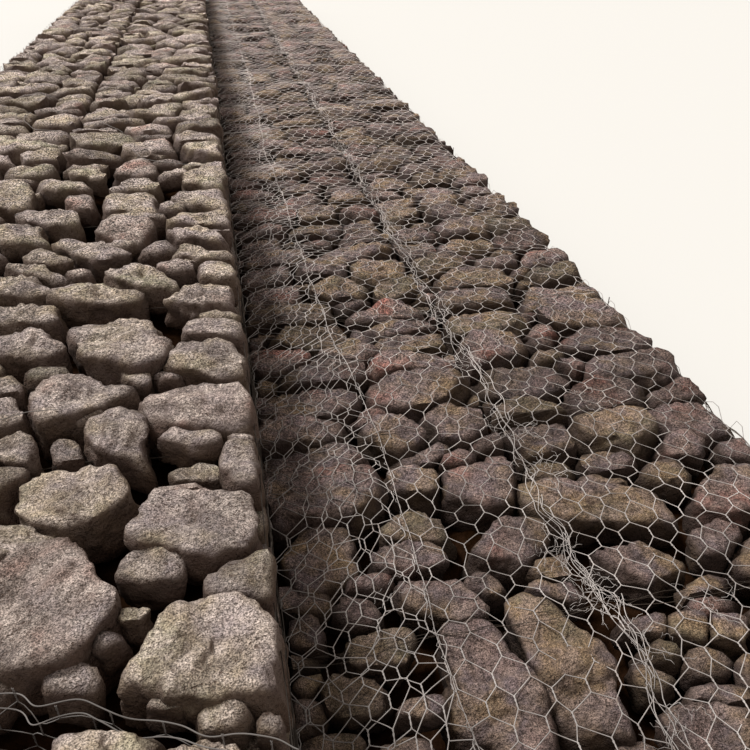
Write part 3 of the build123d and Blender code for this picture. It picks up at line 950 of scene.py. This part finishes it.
def drape(strands, corner, cover, rise, skew=0.0):
    """Lays flat strands over the mattress from a corner, slewed by a share skew and a few slow waves.

    What would run in behind the step is turned back at it, and the rest is kept inside the edges.
    """
    x = corner[0] + strands[..., 0]
    y = corner[1] + strands[..., 1] + skew * strands[..., 0]
    x = x + 0.010 * np.sin(3.9 * y + 2.0 * x) + 0.006 * np.sin(9.0 * y)
    y = y + 0.022 * np.sin(3.1 * x + 1.1 * y) + 0.008 * np.sin(11.0 * x + 2.0 * y)
    x = FACE + 0.003 + np.abs(x - FACE - 0.003)
    x, y = np.minimum(x, WATER_EDGE - 0.016), np.clip(y, RUN_START, RUN_END)
    return np.stack([x, y, cover.height(x, y) + strands[..., 2] + rise], -1)


def stand(strands, origin, across, along, outward, rng):
    """Sets flat strands up against a face, with a slight billow outward."""
    points = origin + strands[..., :1] * across + strands[..., 1:2] * along
    billow = 0.003 * ripple(points, 0.35, rng)[..., None]
    return points + (strands[..., 2:] + billow) * outward


def laid_on(cover, x, y, lift):
    """A path over the mattress at those places."""
    return np.stack([x, y, cover.height(x, y) + lift], -1)


def stations(start, end, fine_until, fine, coarse):
    """Places along the bank, close together as far as fine_until and wider apart from there."""
    near = np.arange(start, min(end, fine_until), fine)
    far = np.arange(max(start, fine_until), end, coarse)
    return np.concatenate([near, far, [end]])


def wire_parts(paths, radius, sides, up=UP):
    """Tubes along paths of any lengths."""
    return [tubes(np.asarray(path)[None], radius, sides, up) for path in paths]


def mattress_cover(settings):
    """The net's heights over the stones that the mattress operator lays."""
    bays = [mattress_stones(bay, settings, draws(settings, MATTRESS_DRAWS + bay)) for bay in range(BAYS)]
    return Cover(np.concatenate([bay.tops() for bay in bays]))


def net_parts(net, place, first, last, close_end, middle_end):
    """One stretch of net as meshes: finest near the start of the run, plain at the far end."""
    parts = []
    limits = [first, *(min(max(row, first), last) for row in (close_end, middle_end)), last]
    for low, high, detail in zip(limits[:-1], limits[1:], (CLOSE, MIDDLE, FAR)):
        if high > low:
            paths = place(net.strands(low, high, detail))
            parts.append(tubes(paths, net.wire.radius, detail.sides, net.up))
    return parts


class GABION_OT_upper_stones(bpy.types.Operator):
    """Packs the upper tier's boxes with laid stone"""

    bl_idname = "gabion.upper_stones"
    bl_label = "Upper tier stones"

    def execute(self, context):
        settings = context.scene.gabion_stone
        for box in range(len(upper_joints) - 1):
            rng = draws(settings, UPPER_DRAWS + box)
            points, faces, tones = build_stones(upper_stones(box, settings, rng), rng)
            material = bpy.data.materials["laid_stone"]
            piece = add_piece(f"upper_stones_{box + 1}", points, faces, material, tones)
            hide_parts(f"upper_tier_fill_{box + 1}")
        return {"FINISHED"}


class GABION_OT_mattress_stones(bpy.types.Operator):
    """Fills the mattress's cells with stone"""

    bl_idname = "gabion.mattress_stones"
    bl_label = "Mattress stones"

    def execute(self, context):
        settings = context.scene.gabion_stone
        for bay in range(BAYS):
            rng = draws(settings, MATTRESS_DRAWS + bay)
            points, faces, tones = build_stones(mattress_stones(bay, settings, rng), rng)
            material = bpy.data.materials["mattress_stone"]
            piece = add_piece(f"mattress_stones_{bay + 1}", points, faces, material, tones)
            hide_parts(f"outer_mattress_fill_{bay + 1}", f"inner_mattress_fill_{bay + 1}")
        return {"FINISHED"}


class GABION_OT_rubble(bpy.types.Operator):
    """Lays the rubble that shows down between the stones, painted near black as their shade"""

    bl_idname = "gabion.rubble"
    bl_label = "Rubble between stones"

    def execute(self, context):
        rng = draws(context.scene.gabion_stone, RUBBLE_DRAWS)
        beds = {
            "upper_rubble": (FACE, TOP_LEVEL - UPPER_RUBBLE_DROP, LID_LEVEL, "upper_stone"),
            "mattress_rubble": (WATER_EDGE, LID_LEVEL - MATTRESS_RUBBLE_DROP, 0.0, "lower_stone"),
        }
        for name, (right, top, base, slot) in beds.items():
            low = np.array([LAND_EDGE + RUBBLE_INSET, RUN_START + RUBBLE_INSET])
            high = np.array([right - RUBBLE_INSET, RUN_END - RUBBLE_INSET, top])
            points, faces = rubble_bed(low, high, rng, base + 0.01)
            piece = add_piece(name, points, faces, bpy.data.materials["rubble"])
        return {"FINISHED"}


class GABION_OT_lid_nets(bpy.types.Operator):
    """Weaves the mattress's lid over its stones, and the lapped strip beside the step"""

    bl_idname = "gabion.lid_nets"
    bl_label = "Lid nets"

    def execute(self, context):
        wire, settings = context.scene.gabion_wire, context.scene.gabion_stone
        rng = draws(settings, LID_DRAWS)
        cover = mattress_cover(settings)
        steel = bpy.data.materials["net_finish"]
        net = Net(wire, WATER_EDGE - FACE, RUN_END - RUN_START, rng)
        close, middle = (int((y - RUN_START) / net.pitch) for y in (CLOSE_END, MIDDLE_END))
        stops = [round(net.rows * bay / BAYS) for bay in range(BAYS + 1)]
        over_lid = partial(drape, corner=(FACE, RUN_START), cover=cover, rise=wire.radius * 0.6)
        for bay in range(BAYS):
            parts = net_parts(net, over_lid, stops[bay], stops[bay + 1], close, middle)
            piece = add_piece(f"lid_net_{bay + 1}", *gather(parts), steel)
        lap = Net(wire, LAP_EDGE, RUN_END - RUN_START, rng, stray=0.013)
        over_lap = partial(drape, corner=(FACE, RUN_START), cover=cover, rise=0.007, skew=0.30)
        piece = add_piece("lap_net", *gather(net_parts(lap, over_lap, 0, lap.rows, close, middle)), steel)
        return {"FINISHED"}


class GABION_OT_face_nets(bpy.types.Operator):
    """Stands the woven net against the faces, the back and both ends"""

    bl_idname = "gabion.face_nets"
    bl_label = "Face nets"

    def execute(self, context):
        wire = context.scene.gabion_wire
        rng = draws(context.scene.gabion_stone, FACE_DRAWS)
        steel, dull = bpy.data.materials["net_finish"], bpy.data.materials["shaded_wire_finish"]
        gap, run = 0.004, RUN_END - RUN_START
        step = TOP_LEVEL - LID_LEVEL
        # Each one's x, base, height and way out, and the rows up to which it is drawn finely and less so
        long_faces = {
            "step_face_net": (FACE, LID_LEVEL + 0.01, step - 0.06, ACROSS, 0, 60),
            "water_face_net": (WATER_EDGE + gap, 0.024, LID_LEVEL - 0.05, ACROSS, 0, 0),
            "back_face_net": (LAND_EDGE - gap, 0.02, TOP_LEVEL - 0.04, -ACROSS, 0, 0),
        }
        for name, (x, base, height, outward, close, middle) in long_faces.items():
            net = Net(wire, height, run, rng)
            origin = np.array([x, RUN_START, base])
            place = partial(stand, origin=origin, across=UP, along=ALONG, outward=outward, rng=rng)
            # The step's net takes the darker wire finish, painted shade of the step
            finish = dull if name == "step_face_net" else steel
            piece = add_piece(name, *gather(net_parts(net, place, 0, net.rows, close, middle)), finish)
        panels = (
            ("mattress", LAND_EDGE, WATER_EDGE, 0.02, LID_LEVEL - 0.04),
            ("upper", LAND_EDGE, FACE, LID_LEVEL + 0.01, step - 0.03),
        )
        for end, y, outward in (("near", RUN_START - gap, -ALONG), ("far", RUN_END + gap, ALONG)):
            for tier, left, right, base, height in panels:
                net = Net(wire, height, right - left, rng)
                origin = np.array([left, y, base])
                place = partial(stand, origin=origin, across=UP, along=ACROSS, outward=outward, rng=rng)
                middle = net.rows if end == "near" else 0
                piece = add_piece(
                    f"{tier}_end_net_{end}", *gather(net_parts(net, place, 0, net.rows, 0, middle)), steel
                )
                if end == "near":
                    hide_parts(f"{tier}_end_mesh_near")
        return {"FINISHED"}


def along_run(rng, x, z, start, end, sway=0.004):
    """An edge wire along the bank from start to end, swaying a little."""
    y = stations(start, end, CLOSE_END, 0.04, 0.25)
    path = np.stack([np.full(len(y), x), y, np.full(len(y), z)], -1)
    return wavy(rng, path, sway, 0.7)


def across_run(rng, y, z, right, sway):
    """A wire across the bank from its land edge, swaying a little."""
    x = np.append(np.arange(LAND_EDGE, right, 0.08), right)
    path = np.stack([x, np.full(len(x), y), np.full(len(x), z)], -1)
    return wavy(rng, path, sway, 0.5)


def post(x, y, base, top):
    """An upright wire."""
    z = np.linspace(base, top, 6)
    return np.stack([np.full(6, x), np.full(6, y), z], -1)


def lid_wire_parts(bay, cover, thick, rng):
    """One bay's edge wires: along its edges and foot, its uprights and the run's end rails."""
    start, end = lower_joints[bay], lower_joints[bay + 1]
    y = stations(start, end, MIDDLE_END, 0.05, 0.12)
    paths = [laid_on(cover, np.full(len(y), WATER_EDGE - 0.012), y, 0.0)]
    paths += [along_run(rng, x, thick + 0.003, start, end, 0.002) for x in (LAND_EDGE, WATER_EDGE)]
    paths.append(along_run(rng, LAND_EDGE, LID_LEVEL, start, end, 0.002))
    stops = [start] if end < RUN_END else [start, end]
    uprights = [post(x, stop, 0.004, LID_LEVEL) for stop in stops for x in (LAND_EDGE, WATER_EDGE)]
    ends = [stop for stop in stops if stop in (RUN_START, RUN_END)]
    rails = [across_run(rng, end, z, WATER_EDGE, 0.002) for end in ends for z in (0.006, LID_LEVEL)]
    parts = wire_parts(paths, thick, 4 if bay else 6)
    return parts + wire_parts(rails, thick, 5) + wire_parts(uprights, thick, 5, ALONG)


def upper_wire_parts(box, thick, rng):
    """One upper box's wires: along its edges, over its diaphragms, and uprights."""
    start, end = upper_joints[box], upper_joints[box + 1]
    top, face = TOP_LEVEL - 0.05, FACE - 0.012
    runs = [along_run(rng, x, z, start, end) for x in (LAND_EDGE, face) for z in (LID_LEVEL + 0.008, top)]
    seams = [low for low, _ in cells_between(start, end, CELL / 2)] + ([end] if end >= RUN_END else [])
    tops = [across_run(rng, y, TOP_LEVEL - 0.07, FACE, 0.006) for y in seams if y != NEAR_WALL]
    uprights = [post(x, y, LID_LEVEL, top) for y in seams for x in (LAND_EDGE, face)]
    parts = wire_parts(runs, thick * 0.5, 4) + wire_parts(tops, thick * 0.7, 4)
    return parts + wire_parts(uprights, thick * 0.6, 4, ALONG)


def first_diaphragm_parts(wire, rng):
    """The proud crest of the first diaphragm, and its mesh hung from the crest."""
    crest = curve(np.array([[x, NEAR_WALL + lean, TOP_LEVEL + rise] for x, lean, rise in CREST]), 12)
    crest = wavy(rng, crest, 0.005, 0.13)
    second = wavy(rng, crest - [0, 0.016, 0.022], 0.008, 0.15)
    parts = wire_parts([crest, second], wire.edge_radius * 0.55, 6, ALONG)
    wall = Net(wire, FACE - LAND_EDGE, 0.24, rng, stray=0.010)
    strands = wall.strands(0, wall.rows, CLOSE)
    hung = stand(strands, np.array([LAND_EDGE, 0, 0]), ACROSS, -UP, -ALONG, rng)
    for axis in (1, 2):
        hung[..., axis] += np.interp(hung[..., 0], crest[:, 0], crest[:, axis])
    return parts + [tubes(hung, wire.radius * 0.7, 5, ALONG)]


class GABION_OT_edge_wires(bpy.types.Operator):
    """Runs the edge wires of both tiers, and the first diaphragm's proud mesh"""

    bl_idname = "gabion.edge_wires"
    bl_label = "Edge wires"

    def execute(self, context):
        wire, settings = context.scene.gabion_wire, context.scene.gabion_stone
        rng = draws(settings, EDGE_DRAWS)
        cover = mattress_cover(settings)
        dull = bpy.data.materials["shaded_wire_finish"]
        for bay in range(BAYS):
            parts = lid_wire_parts(bay, cover, wire.edge_radius, rng)
            piece = add_piece(f"lid_wires_{bay + 1}", *gather(parts), dull)
            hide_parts(f"lid_frame_{bay + 1}")
        for box in range(len(upper_joints) - 1):
            piece = add_piece(
                f"upper_wires_{box + 1}", *gather(upper_wire_parts(box, wire.edge_radius, rng)), dull
            )
            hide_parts(f"upper_frame_{box + 1}")
        crest_finish = bpy.data.materials["crest_finish"]
        piece = add_piece("first_diaphragm", *gather(first_diaphragm_parts(wire, rng)), crest_finish)
        return {"FINISHED"}


def whole_line(pixels, level, near_x, far_x):
    """A line along the whole run: its seen part, and its two ends out of view."""
    return np.concatenate([[(near_x, RUN_START)], on_level(pixels, level), [(far_x, RUN_END)]])


def band_parts(cover, wire, rng):
    """The lid's middle seam: short overlapping strands that wander along it."""
    parts = []
    band = whole_line(BAND_PIXELS, LID_LEVEL + 0.04, 0.95, 1.00)
    for start in np.arange(RUN_START, RUN_END - 0.2, 0.14):
        near = start < MIDDLE_END
        end = min(start + rng.uniform(0.3, 0.9), RUN_END)
        run = np.linspace(start, end, int((end - start) / (0.022 if near else 0.07)) + 2)
        middle = np.interp(run, band[:, 1], band[:, 0]) + rng.normal(0, 0.022)
        wander = 0.016 * np.sin(run * rng.uniform(8, 14) + rng.uniform(0, 6))
        wander += 0.008 * np.sin(run * rng.uniform(25, 50) + rng.uniform(0, 6))
        lift = 0.004 + 0.009 * np.abs(np.sin(run * rng.uniform(9, 22)))
        path = laid_on(cover, middle + wander, run, lift)
        parts += wire_parts([path], wire.radius * rng.uniform(0.55, 0.95), 4 if near else 3)
    return parts


def lap_edge_parts(cover, wire, rng):
    """The lap's free edge: one wire and the fine coil that binds it."""
    y = stations(RUN_START, RUN_END, MIDDLE_END, 0.03, 0.10)
    places = whole_line(LAP_PIXELS, LID_LEVEL + 0.03, 0.45, 0.42)
    drift = 0.008 * np.sin(y * 2.7) + 0.006 * np.sin(y * 7.3 + 1) + 0.003 * np.sin(y * 23)
    middle = np.interp(y, places[:, 1], places[:, 0]) + drift
    run = np.arange(RUN_START, RUN_END, 0.05)
    inner = laid_on(cover, np.interp(run, y, middle) - 0.004, run, 0.010)
    edge = wire_parts([laid_on(cover, middle, y, 0.010)], wire.radius * 0.8, 5)
    return edge + wire_parts([coil(inner, 0.006, 0.055, 5, rng)], wire.radius * 0.6, 3)


def cross_seam_parts(cover, wire, rng):
    """The seams across the lid, one to each cell: three loose strands close by, and one further on."""
    parts = []
    for seam in np.arange(RUN_START + CELL, RUN_END, CELL):
        near = seam < MIDDLE_END
        x = np.arange(FACE + 0.01, WATER_EDGE, 0.03 if near else 0.09)
        for strand in range(3 if near else 1):
            drift = 0.014 * (strand - 1) + 0.010 * np.sin(x * rng.uniform(5, 11) + rng.uniform(0, 6))
            drift += 0.007 * np.sin(x * rng.uniform(20, 40) + rng.uniform(0, 6))
            path = laid_on(cover, x, seam + drift, rng.uniform(-0.006, 0.008))
            parts += wire_parts([path], wire.radius * rng.uniform(0.6, 0.9), 4 if near else 3)
    return parts


def loose_wire_parts(cover, wire, rng):
    """Tangles of kinked ends on the lid, and the loose wires on the upper stones."""
    parts, points = [], 9
    for x, s, size, ends in TANGLES:
        curls = tangle(rng, np.array([x, RUN_START + s, 0.0]), size, ends, points)
        curls = np.clip(curls, [FACE + 0.01, RUN_START, 0], [WATER_EDGE, RUN_END, 0])
        bounce = np.abs(np.sin(np.linspace(0, 3 * pi, points) + rng.uniform(0, pi, (ends, 1))))
        curls[..., 2] = cover.height(curls[..., 0], curls[..., 1]) + 0.004 + 0.014 * bounce
        parts.append(tubes(curls, wire.radius * 0.5, 3, UP))
    for rise, pixels in STRAYS:
        places = on_level(pixels, TOP_LEVEL + rise)
        path = curve(np.append(places, np.full((len(places), 1), TOP_LEVEL + 0.035), axis=1), 6)
        parts += wire_parts([wavy(rng, path, 0.006, 0.25)], wire.radius * 0.9, 4)
    return parts


class GABION_OT_lacing(bpy.types.Operator):
    """Laces the lid's seams: the middle band, the lap's free edge, cross seams and stray ends"""

    bl_idname = "gabion.lacing"
    bl_label = "Seams and lacing"

    def execute(self, context):
        wire, settings = context.scene.gabion_wire, context.scene.gabion_stone
        rng = draws(settings, LACING_DRAWS)
        cover = mattress_cover(settings)
        bright, dull = bpy.data.materials["net_finish"], bpy.data.materials["shaded_wire_finish"]
        piece = add_piece("middle_band", *gather(band_parts(cover, wire, rng)), bright)
        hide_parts(*[f"middle_lacing_{bay + 1}" for bay in range(BAYS)])
        piece = add_piece("lap_edge", *gather(lap_edge_parts(cover, wire, rng)), bright)
        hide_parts("lap_edge_wire")
        piece = add_piece("cross_seams", *gather(cross_seam_parts(cover, wire, rng)), dull)
        piece = add_piece("stray_wires", *gather(loose_wire_parts(cover, wire, rng)), bright)
        return {"FINISHED"}


# Shader sums


class Sum:
    """A value socket of a material, so that sums on it add Math nodes."""

    def __init__(self, paint, socket):
        self.paint = paint
        self.socket = socket

    def _math(self, operation, *values):
        return self.paint.node("Math", {"operation": operation}, *values)

    def __add__(self, other):
        return self._math("ADD", self, other)

    def __radd__(self, other):
        return self._math("ADD", other, self)

    def __sub__(self, other):
        return self._math("SUBTRACT", self, other)

    def __rsub__(self, other):
        return self._math("SUBTRACT", other, self)

    def __mul__(self, other):
        return self._math("MULTIPLY", self, other)

    def __rmul__(self, other):
        return self._math("MULTIPLY", other, self)

    def clamped(self, low, high, start=0.0, end=1.0):
        """This value taken from low..high to start..end and held there."""
        return self.paint.node("MapRange", {}, self, low, high, start, end)


class Paint:
    """One material and the ways its nodes are made."""

    def __init__(self, name):
        self.material = bpy.data.materials.new(name)
        self.material.use_nodes = True
        self.tree = self.material.node_tree
        self.shader = next(n for n in self.tree.nodes if n.type == "BSDF_PRINCIPLED")
        self.place = self.node("TexCoord", {}, output="Object").socket

    def node(self, kind, settings, *values, output=None, **named):
        """Adds a node of this kind: settings first, then its sockets in order or by name."""
        made = self.tree.nodes.new("ShaderNode" + kind)
        for setting, value in settings.items():
            if setting == "stops":
                ramp = made.color_ramp
                while len(ramp.elements) < len(value):
                    ramp.elements.new(0.5)
                for stop, (position, colour) in zip(ramp.elements, value):
                    stop.position = position
                    stop.color = (*colour, 1.0)
            else:
                setattr(made, setting, value)
        sockets = [s for s in made.inputs if s.enabled]
        for socket, value in [*zip(sockets, values), *((made.inputs[n], v) for n, v in named.items())]:
            self.set(socket, value)
        outputs = [s for s in made.outputs if s.enabled]
        return Sum(self, made.outputs[output] if output else outputs[0])

    def set(self, socket, value):
        """Links a socket to another, or gives it a value."""
        if isinstance(value, Sum):
            self.tree.links.new(value.socket, socket)
        elif isinstance(value, bpy.types.NodeSocket):
            self.tree.links.new(value, socket)
        elif value is not None:
            socket.default_value = value

    def noise(self, scale, detail=4.0, rough=0.55):
        """Fractal noise from 0 to 1 over the object's own coordinates."""
        return self.node("TexNoise", {}, Vector=self.place, Scale=scale, Detail=detail, Roughness=rough)

    def mixed(self, share, first, second, blend="MIX"):
        """Mixes two colours by a share from 0 to 1."""
        made = self.tree.nodes.new("ShaderNodeMix")
        made.data_type = "RGBA"
        made.blend_type = blend
        made.clamp_factor = True
        self.set(made.inputs[0], share)
        for socket, colour in ((made.inputs[6], first), (made.inputs[7], second)):
            linked = isinstance(colour, (Sum, bpy.types.NodeSocket))
            self.set(socket, colour if linked else (*colour[:3], 1.0))
        return Sum(self, made.outputs[2])

    def finish(self, **sockets):
        """Sets the shader's sockets and returns the material."""
        for name, value in sockets.items():
            self.set(self.shader.inputs[name.replace("_", " ")], value)
        return self.material


def stone_material(name, colour, tints, dark, roughness, dark_share, gain):
    """Weathered stone: tones that drift within each stone, stains, grain and pits; painted light on the tops
    and painted shade on the browner sides; and grime with painted shade lower down.
    """
    paint = Paint(name)
    tone = paint.node("Attribute", {"attribute_name": "stone_tone"}, output="Color")
    parts = paint.node("SeparateColor", {}, tone)
    bright, hue, grime_and_shade = [Sum(paint, parts.socket.node.outputs[i]) for i in range(3)]
    # Patches of tint, then stains and bleached patches
    drift = hue * 0.34 + paint.noise(4.2, 3.0) * 1.3 - 0.33
    tinted = paint.node("ValToRGB", {"stops": tints}, drift)
    base = paint.mixed(0.85, colour, tinted)
    stain = paint.noise(5.5, 5.0, 0.62).clamped(0.42, 0.62)
    base = paint.mixed(stain * 0.66, base, [c * 0.40 for c in colour])
    bleach = paint.noise(14.0, 5.0, 0.65).clamped(0.46, 0.62)
    base = paint.mixed(bleach * 0.60, base, [c * 1.45 + colour[2] * 0.48 for c in colour])
    # The coarse grain fades towards the near end, where fine grain is enough
    along = paint.node("SeparateXYZ", {}, paint.place, output="Y")
    rough = along.clamped(-8.2, -5.5, 0.20, 1.0)
    coarse, fine = paint.noise(110.0, 1.5, 0.6), paint.noise(260.0, 1.0, 0.5)
    grain = ((coarse.clamped(0.36, 0.64, -1.0, 1.0) * rough) + 1.0) * fine.clamped(0.34, 0.66, 0.34, 1.66)
    pitted = paint.noise(105.0, 2.0, 0.5).clamped(0.58, 0.66) * paint.noise(11.0, 3.0).clamped(0.40, 0.58)
    # One level for light and dark: each stone's own, and painted light: brighter on top by its normal, with
    # the grain only on the lit tops, and brighter further along the bank
    facing = paint.node("SeparateXYZ", {}, paint.node("NewGeometry", {}, output="Normal"), output="Z")
    upward = facing.clamped(0.40, 0.985)
    level = (bright * 0.66 + 0.60) * (upward * 0.60 + 0.40) * (grain * upward + (1.0 - upward) * 0.95)
    # Painted light: the stones are drawn brighter further along the bank
    level = level * along.clamped(-8.2, 6.0, 0.98 * gain, 1.70 * gain)
    grey = paint.node("CombineColor", {}, level, level, level)
    base = paint.mixed(1.0, base, grey, "MULTIPLY")
    # Painted shade on the browner sides, dark pits, and grime with painted shade
    base = paint.mixed((1.0 - upward) * 0.35, base, (dark[0] * 2.2, dark[1] * 2.1, dark[2] * 2.0))
    base = paint.mixed(pitted * 0.75, base, dark)
    base = paint.mixed(grime_and_shade * dark_share, base, dark)
    height = paint.noise(13.0, 6.0, 0.62) * 0.034 + coarse * 0.006 + fine * 0.003 - pitted * 0.003
    bump = paint.node("Bump", {}, Strength=1.0, Distance=1.0, Height=height)
    return paint.finish(Base_Color=base, Roughness=roughness, Specular_IOR_Level=0.25, Normal=bump)


def wire_material(name, colour, roughness):
    """Dull zinc wire: bright, grey and rusty lengths by turns; darker at the foot of the step, painted shade
    of the step with some dirt; and painted light, brighter further along the bank.
    """
    paint = Paint(name)
    dull = paint.noise(3.6, 4.0).clamped(0.36, 0.64)
    base = paint.mixed(dull * 0.75, [c * 1.25 for c in colour], [c * 0.45 for c in colour])
    rust = paint.noise(23.0, 4.0, 0.7).clamped(0.56, 0.70)
    base = paint.mixed(rust * 0.6, base, [colour[0] * 0.40, colour[1] * 0.26, colour[2] * 0.17])
    # Painted shade of the step, with some dirt: darker at its foot
    foot_shade_and_dirt = paint.node("SeparateXYZ", {}, paint.place, output="X").clamped(0.0, 0.40, 0.74, 0.0)
    base = paint.mixed(foot_shade_and_dirt, base, [c * 0.25 for c in colour])
    # Painted light: the wire is drawn brighter further along the bank
    along = paint.node("SeparateXYZ", {}, paint.place, output="Y").clamped(-8.6, -2.0, 0.76, 1.60)
    base = paint.mixed(1.0, base, paint.node("CombineColor", {}, along, along, along), "MULTIPLY")
    return paint.finish(Base_Color=base, Roughness=dull * 0.10 + roughness, Specular_IOR_Level=0.25)


# Colours of one stone's patches, from olive through tan to mauve and pink
LAID_TINTS = (
    (0.00, (0.180, 0.175, 0.115)),
    (0.20, (0.300, 0.270, 0.185)),
    (0.40, (0.330, 0.265, 0.190)),
    (0.55, (0.265, 0.222, 0.220)),
    (0.70, (0.330, 0.258, 0.230)),
    (0.85, (0.350, 0.215, 0.180)),
)
DAMP_TINTS = (
    (0.00, (0.092, 0.096, 0.078)),
    (0.20, (0.140, 0.112, 0.068)),
    (0.38, (0.190, 0.128, 0.072)),
    (0.52, (0.115, 0.090, 0.096)),
    (0.68, (0.160, 0.105, 0.095)),
    (0.85, (0.220, 0.086, 0.068)),
)


# A darker copy of the wire finish, as painted shade: the edge wires, the net on the step and the cross seams
SHADED_WIRE = (0.070, 0.054, 0.042)

# Overcast light: a pale warm sky and a soft sun that shines along SUN_WAY
SKY_COLOUR, SKY_STRENGTH = (1.0, 0.91, 0.84, 1.0), 0.62
SUN_COLOUR, SUN_STRENGTH, SUN_WAY = (1.0, 0.985, 0.96), 3.85, (0.42, -0.48, -0.77)


class GABION_OT_materials(bpy.types.Operator):
    """Makes the finishes: laid stone, mattress stone, rubble and wire"""

    bl_idname = "gabion.materials"
    bl_label = "Finishes"

    def execute(self, context):
        stone, wire = context.scene.gabion_stone, context.scene.gabion_wire
        upper, lower = stone.upper_colour[:], stone.lower_colour[:]
        stone_material(
            "laid_stone", upper, LAID_TINTS, dark=(0.058, 0.032, 0.021), roughness=0.88,
            dark_share=0.80, gain=0.86,
        )
        stone_material(
            "mattress_stone", lower, DAMP_TINTS, dark=(0.026, 0.015, 0.010), roughness=0.78,
            dark_share=0.85, gain=1.06,
        )
        # Rubble painted near black: painted shade of the deep gaps between stones
        rubble = Paint("rubble")
        shade = rubble.noise(18.0, 5.0).clamped(0.4, 0.7)
        bump = rubble.node("Bump", {}, Strength=0.8, Distance=0.02, Height=rubble.noise(30.0, 5.0))
        rubble.finish(
            Base_Color=rubble.mixed(shade, (0.010, 0.0045, 0.002), (0.027, 0.013, 0.007)),
            Roughness=1.0, Specular_IOR_Level=0.0, Normal=bump,
        )
        wire_material("net_finish", wire.colour[:], 0.68)
        # Painted shade: a darker copy of the wire finish
        wire_material("shaded_wire_finish", SHADED_WIRE, 0.88)
        wire_material("crest_finish", [c * 0.85 for c in wire.colour], 0.72)
        return {"FINISHED"}


class GABION_OT_stage(bpy.types.Operator):
    """Sets the pale floor, the soft light and the camera at the photograph's place"""

    bl_idname = "gabion.stage"
    bl_label = "Floor, light and camera"

    def execute(self, context):
        scene = context.scene
        scene.view_settings.view_transform = "Standard"
        bpy.ops.mesh.primitive_plane_add(size=120.0, location=(0, 0, 0))
        floor = context.object
        floor.name = "floor"
        paint = Paint("pale_floor")
        paint.finish(Base_Color=(0.62, 0.62, 0.60, 1.0), Roughness=0.9)
        floor.data.materials.append(paint.material)

        world = bpy.data.worlds.new("soft_sky")
        scene.world = world
        world.use_nodes = True
        background = next(n for n in world.node_tree.nodes if n.type == "BACKGROUND")
        background.inputs["Color"].default_value = SKY_COLOUR
        background.inputs["Strength"].default_value = SKY_STRENGTH

        sun = bpy.data.lights.new("soft_sun", "SUN")
        sun.energy = SUN_STRENGTH
        sun.angle = radians(15)
        sun.color = SUN_COLOUR
        lamp = bpy.data.objects.new("soft_sun", sun)
        lamp.rotation_euler = Vector(SUN_WAY).to_track_quat("-Z", "Y").to_euler()
        scene.collection.objects.link(lamp)

        camera = bpy.data.cameras.new("photo_camera")
        camera.sensor_width = 36.0
        camera.lens = camera.sensor_width * FOCAL_PIXELS / PHOTO_SIZE
        camera.clip_end = 200.0
        view = bpy.data.objects.new("photo_camera", camera)
        view.location = EYE
        view.rotation_euler = Euler((pi / 2 - EYE_PITCH, 0.0, -EYE_YAW))
        scene.collection.objects.link(view)
        scene.camera = view
        return {"FINISHED"}


class GABION_PT_panel(bpy.types.Panel):
    """Lists the steps that dress the revetment"""

    bl_idname = "GABION_PT_panel"
    bl_label = "Gabion"
    bl_space_type = "VIEW_3D"
    bl_region_type = "UI"
    bl_category = "Gabion"

    def draw(self, context):
        for group in (context.scene.gabion_stone, context.scene.gabion_wire):
            for name in group.__annotations__:
                self.layout.prop(group, name)
        for step in STEPS:
            self.layout.operator(step.bl_idname)


STEPS = (
    GABION_OT_materials,
    GABION_OT_upper_stones,
    GABION_OT_mattress_stones,
    GABION_OT_rubble,
    GABION_OT_lid_nets,
    GABION_OT_face_nets,
    GABION_OT_edge_wires,
    GABION_OT_lacing,
    GABION_OT_stage,
)
CLASSES = (GabionStone, GabionWire, *STEPS, GABION_PT_panel)


def register():
    for cls in CLASSES:
        bpy.utils.register_class(cls)
    bpy.types.Scene.gabion_stone = bpy.props.PointerProperty(type=GabionStone)
    bpy.types.Scene.gabion_wire = bpy.props.PointerProperty(type=GabionWire)


def unregister():
    del bpy.types.Scene.gabion_stone
    del bpy.types.Scene.gabion_wire
    for cls in reversed(CLASSES):
        bpy.utils.unregister_class(cls)


def main():
    """Runs every step in order."""
    register()
    for step in STEPS:
        getattr(bpy.ops.gabion, step.bl_idname.split(".")[1])()


if __name__ == "__main__":
    main()
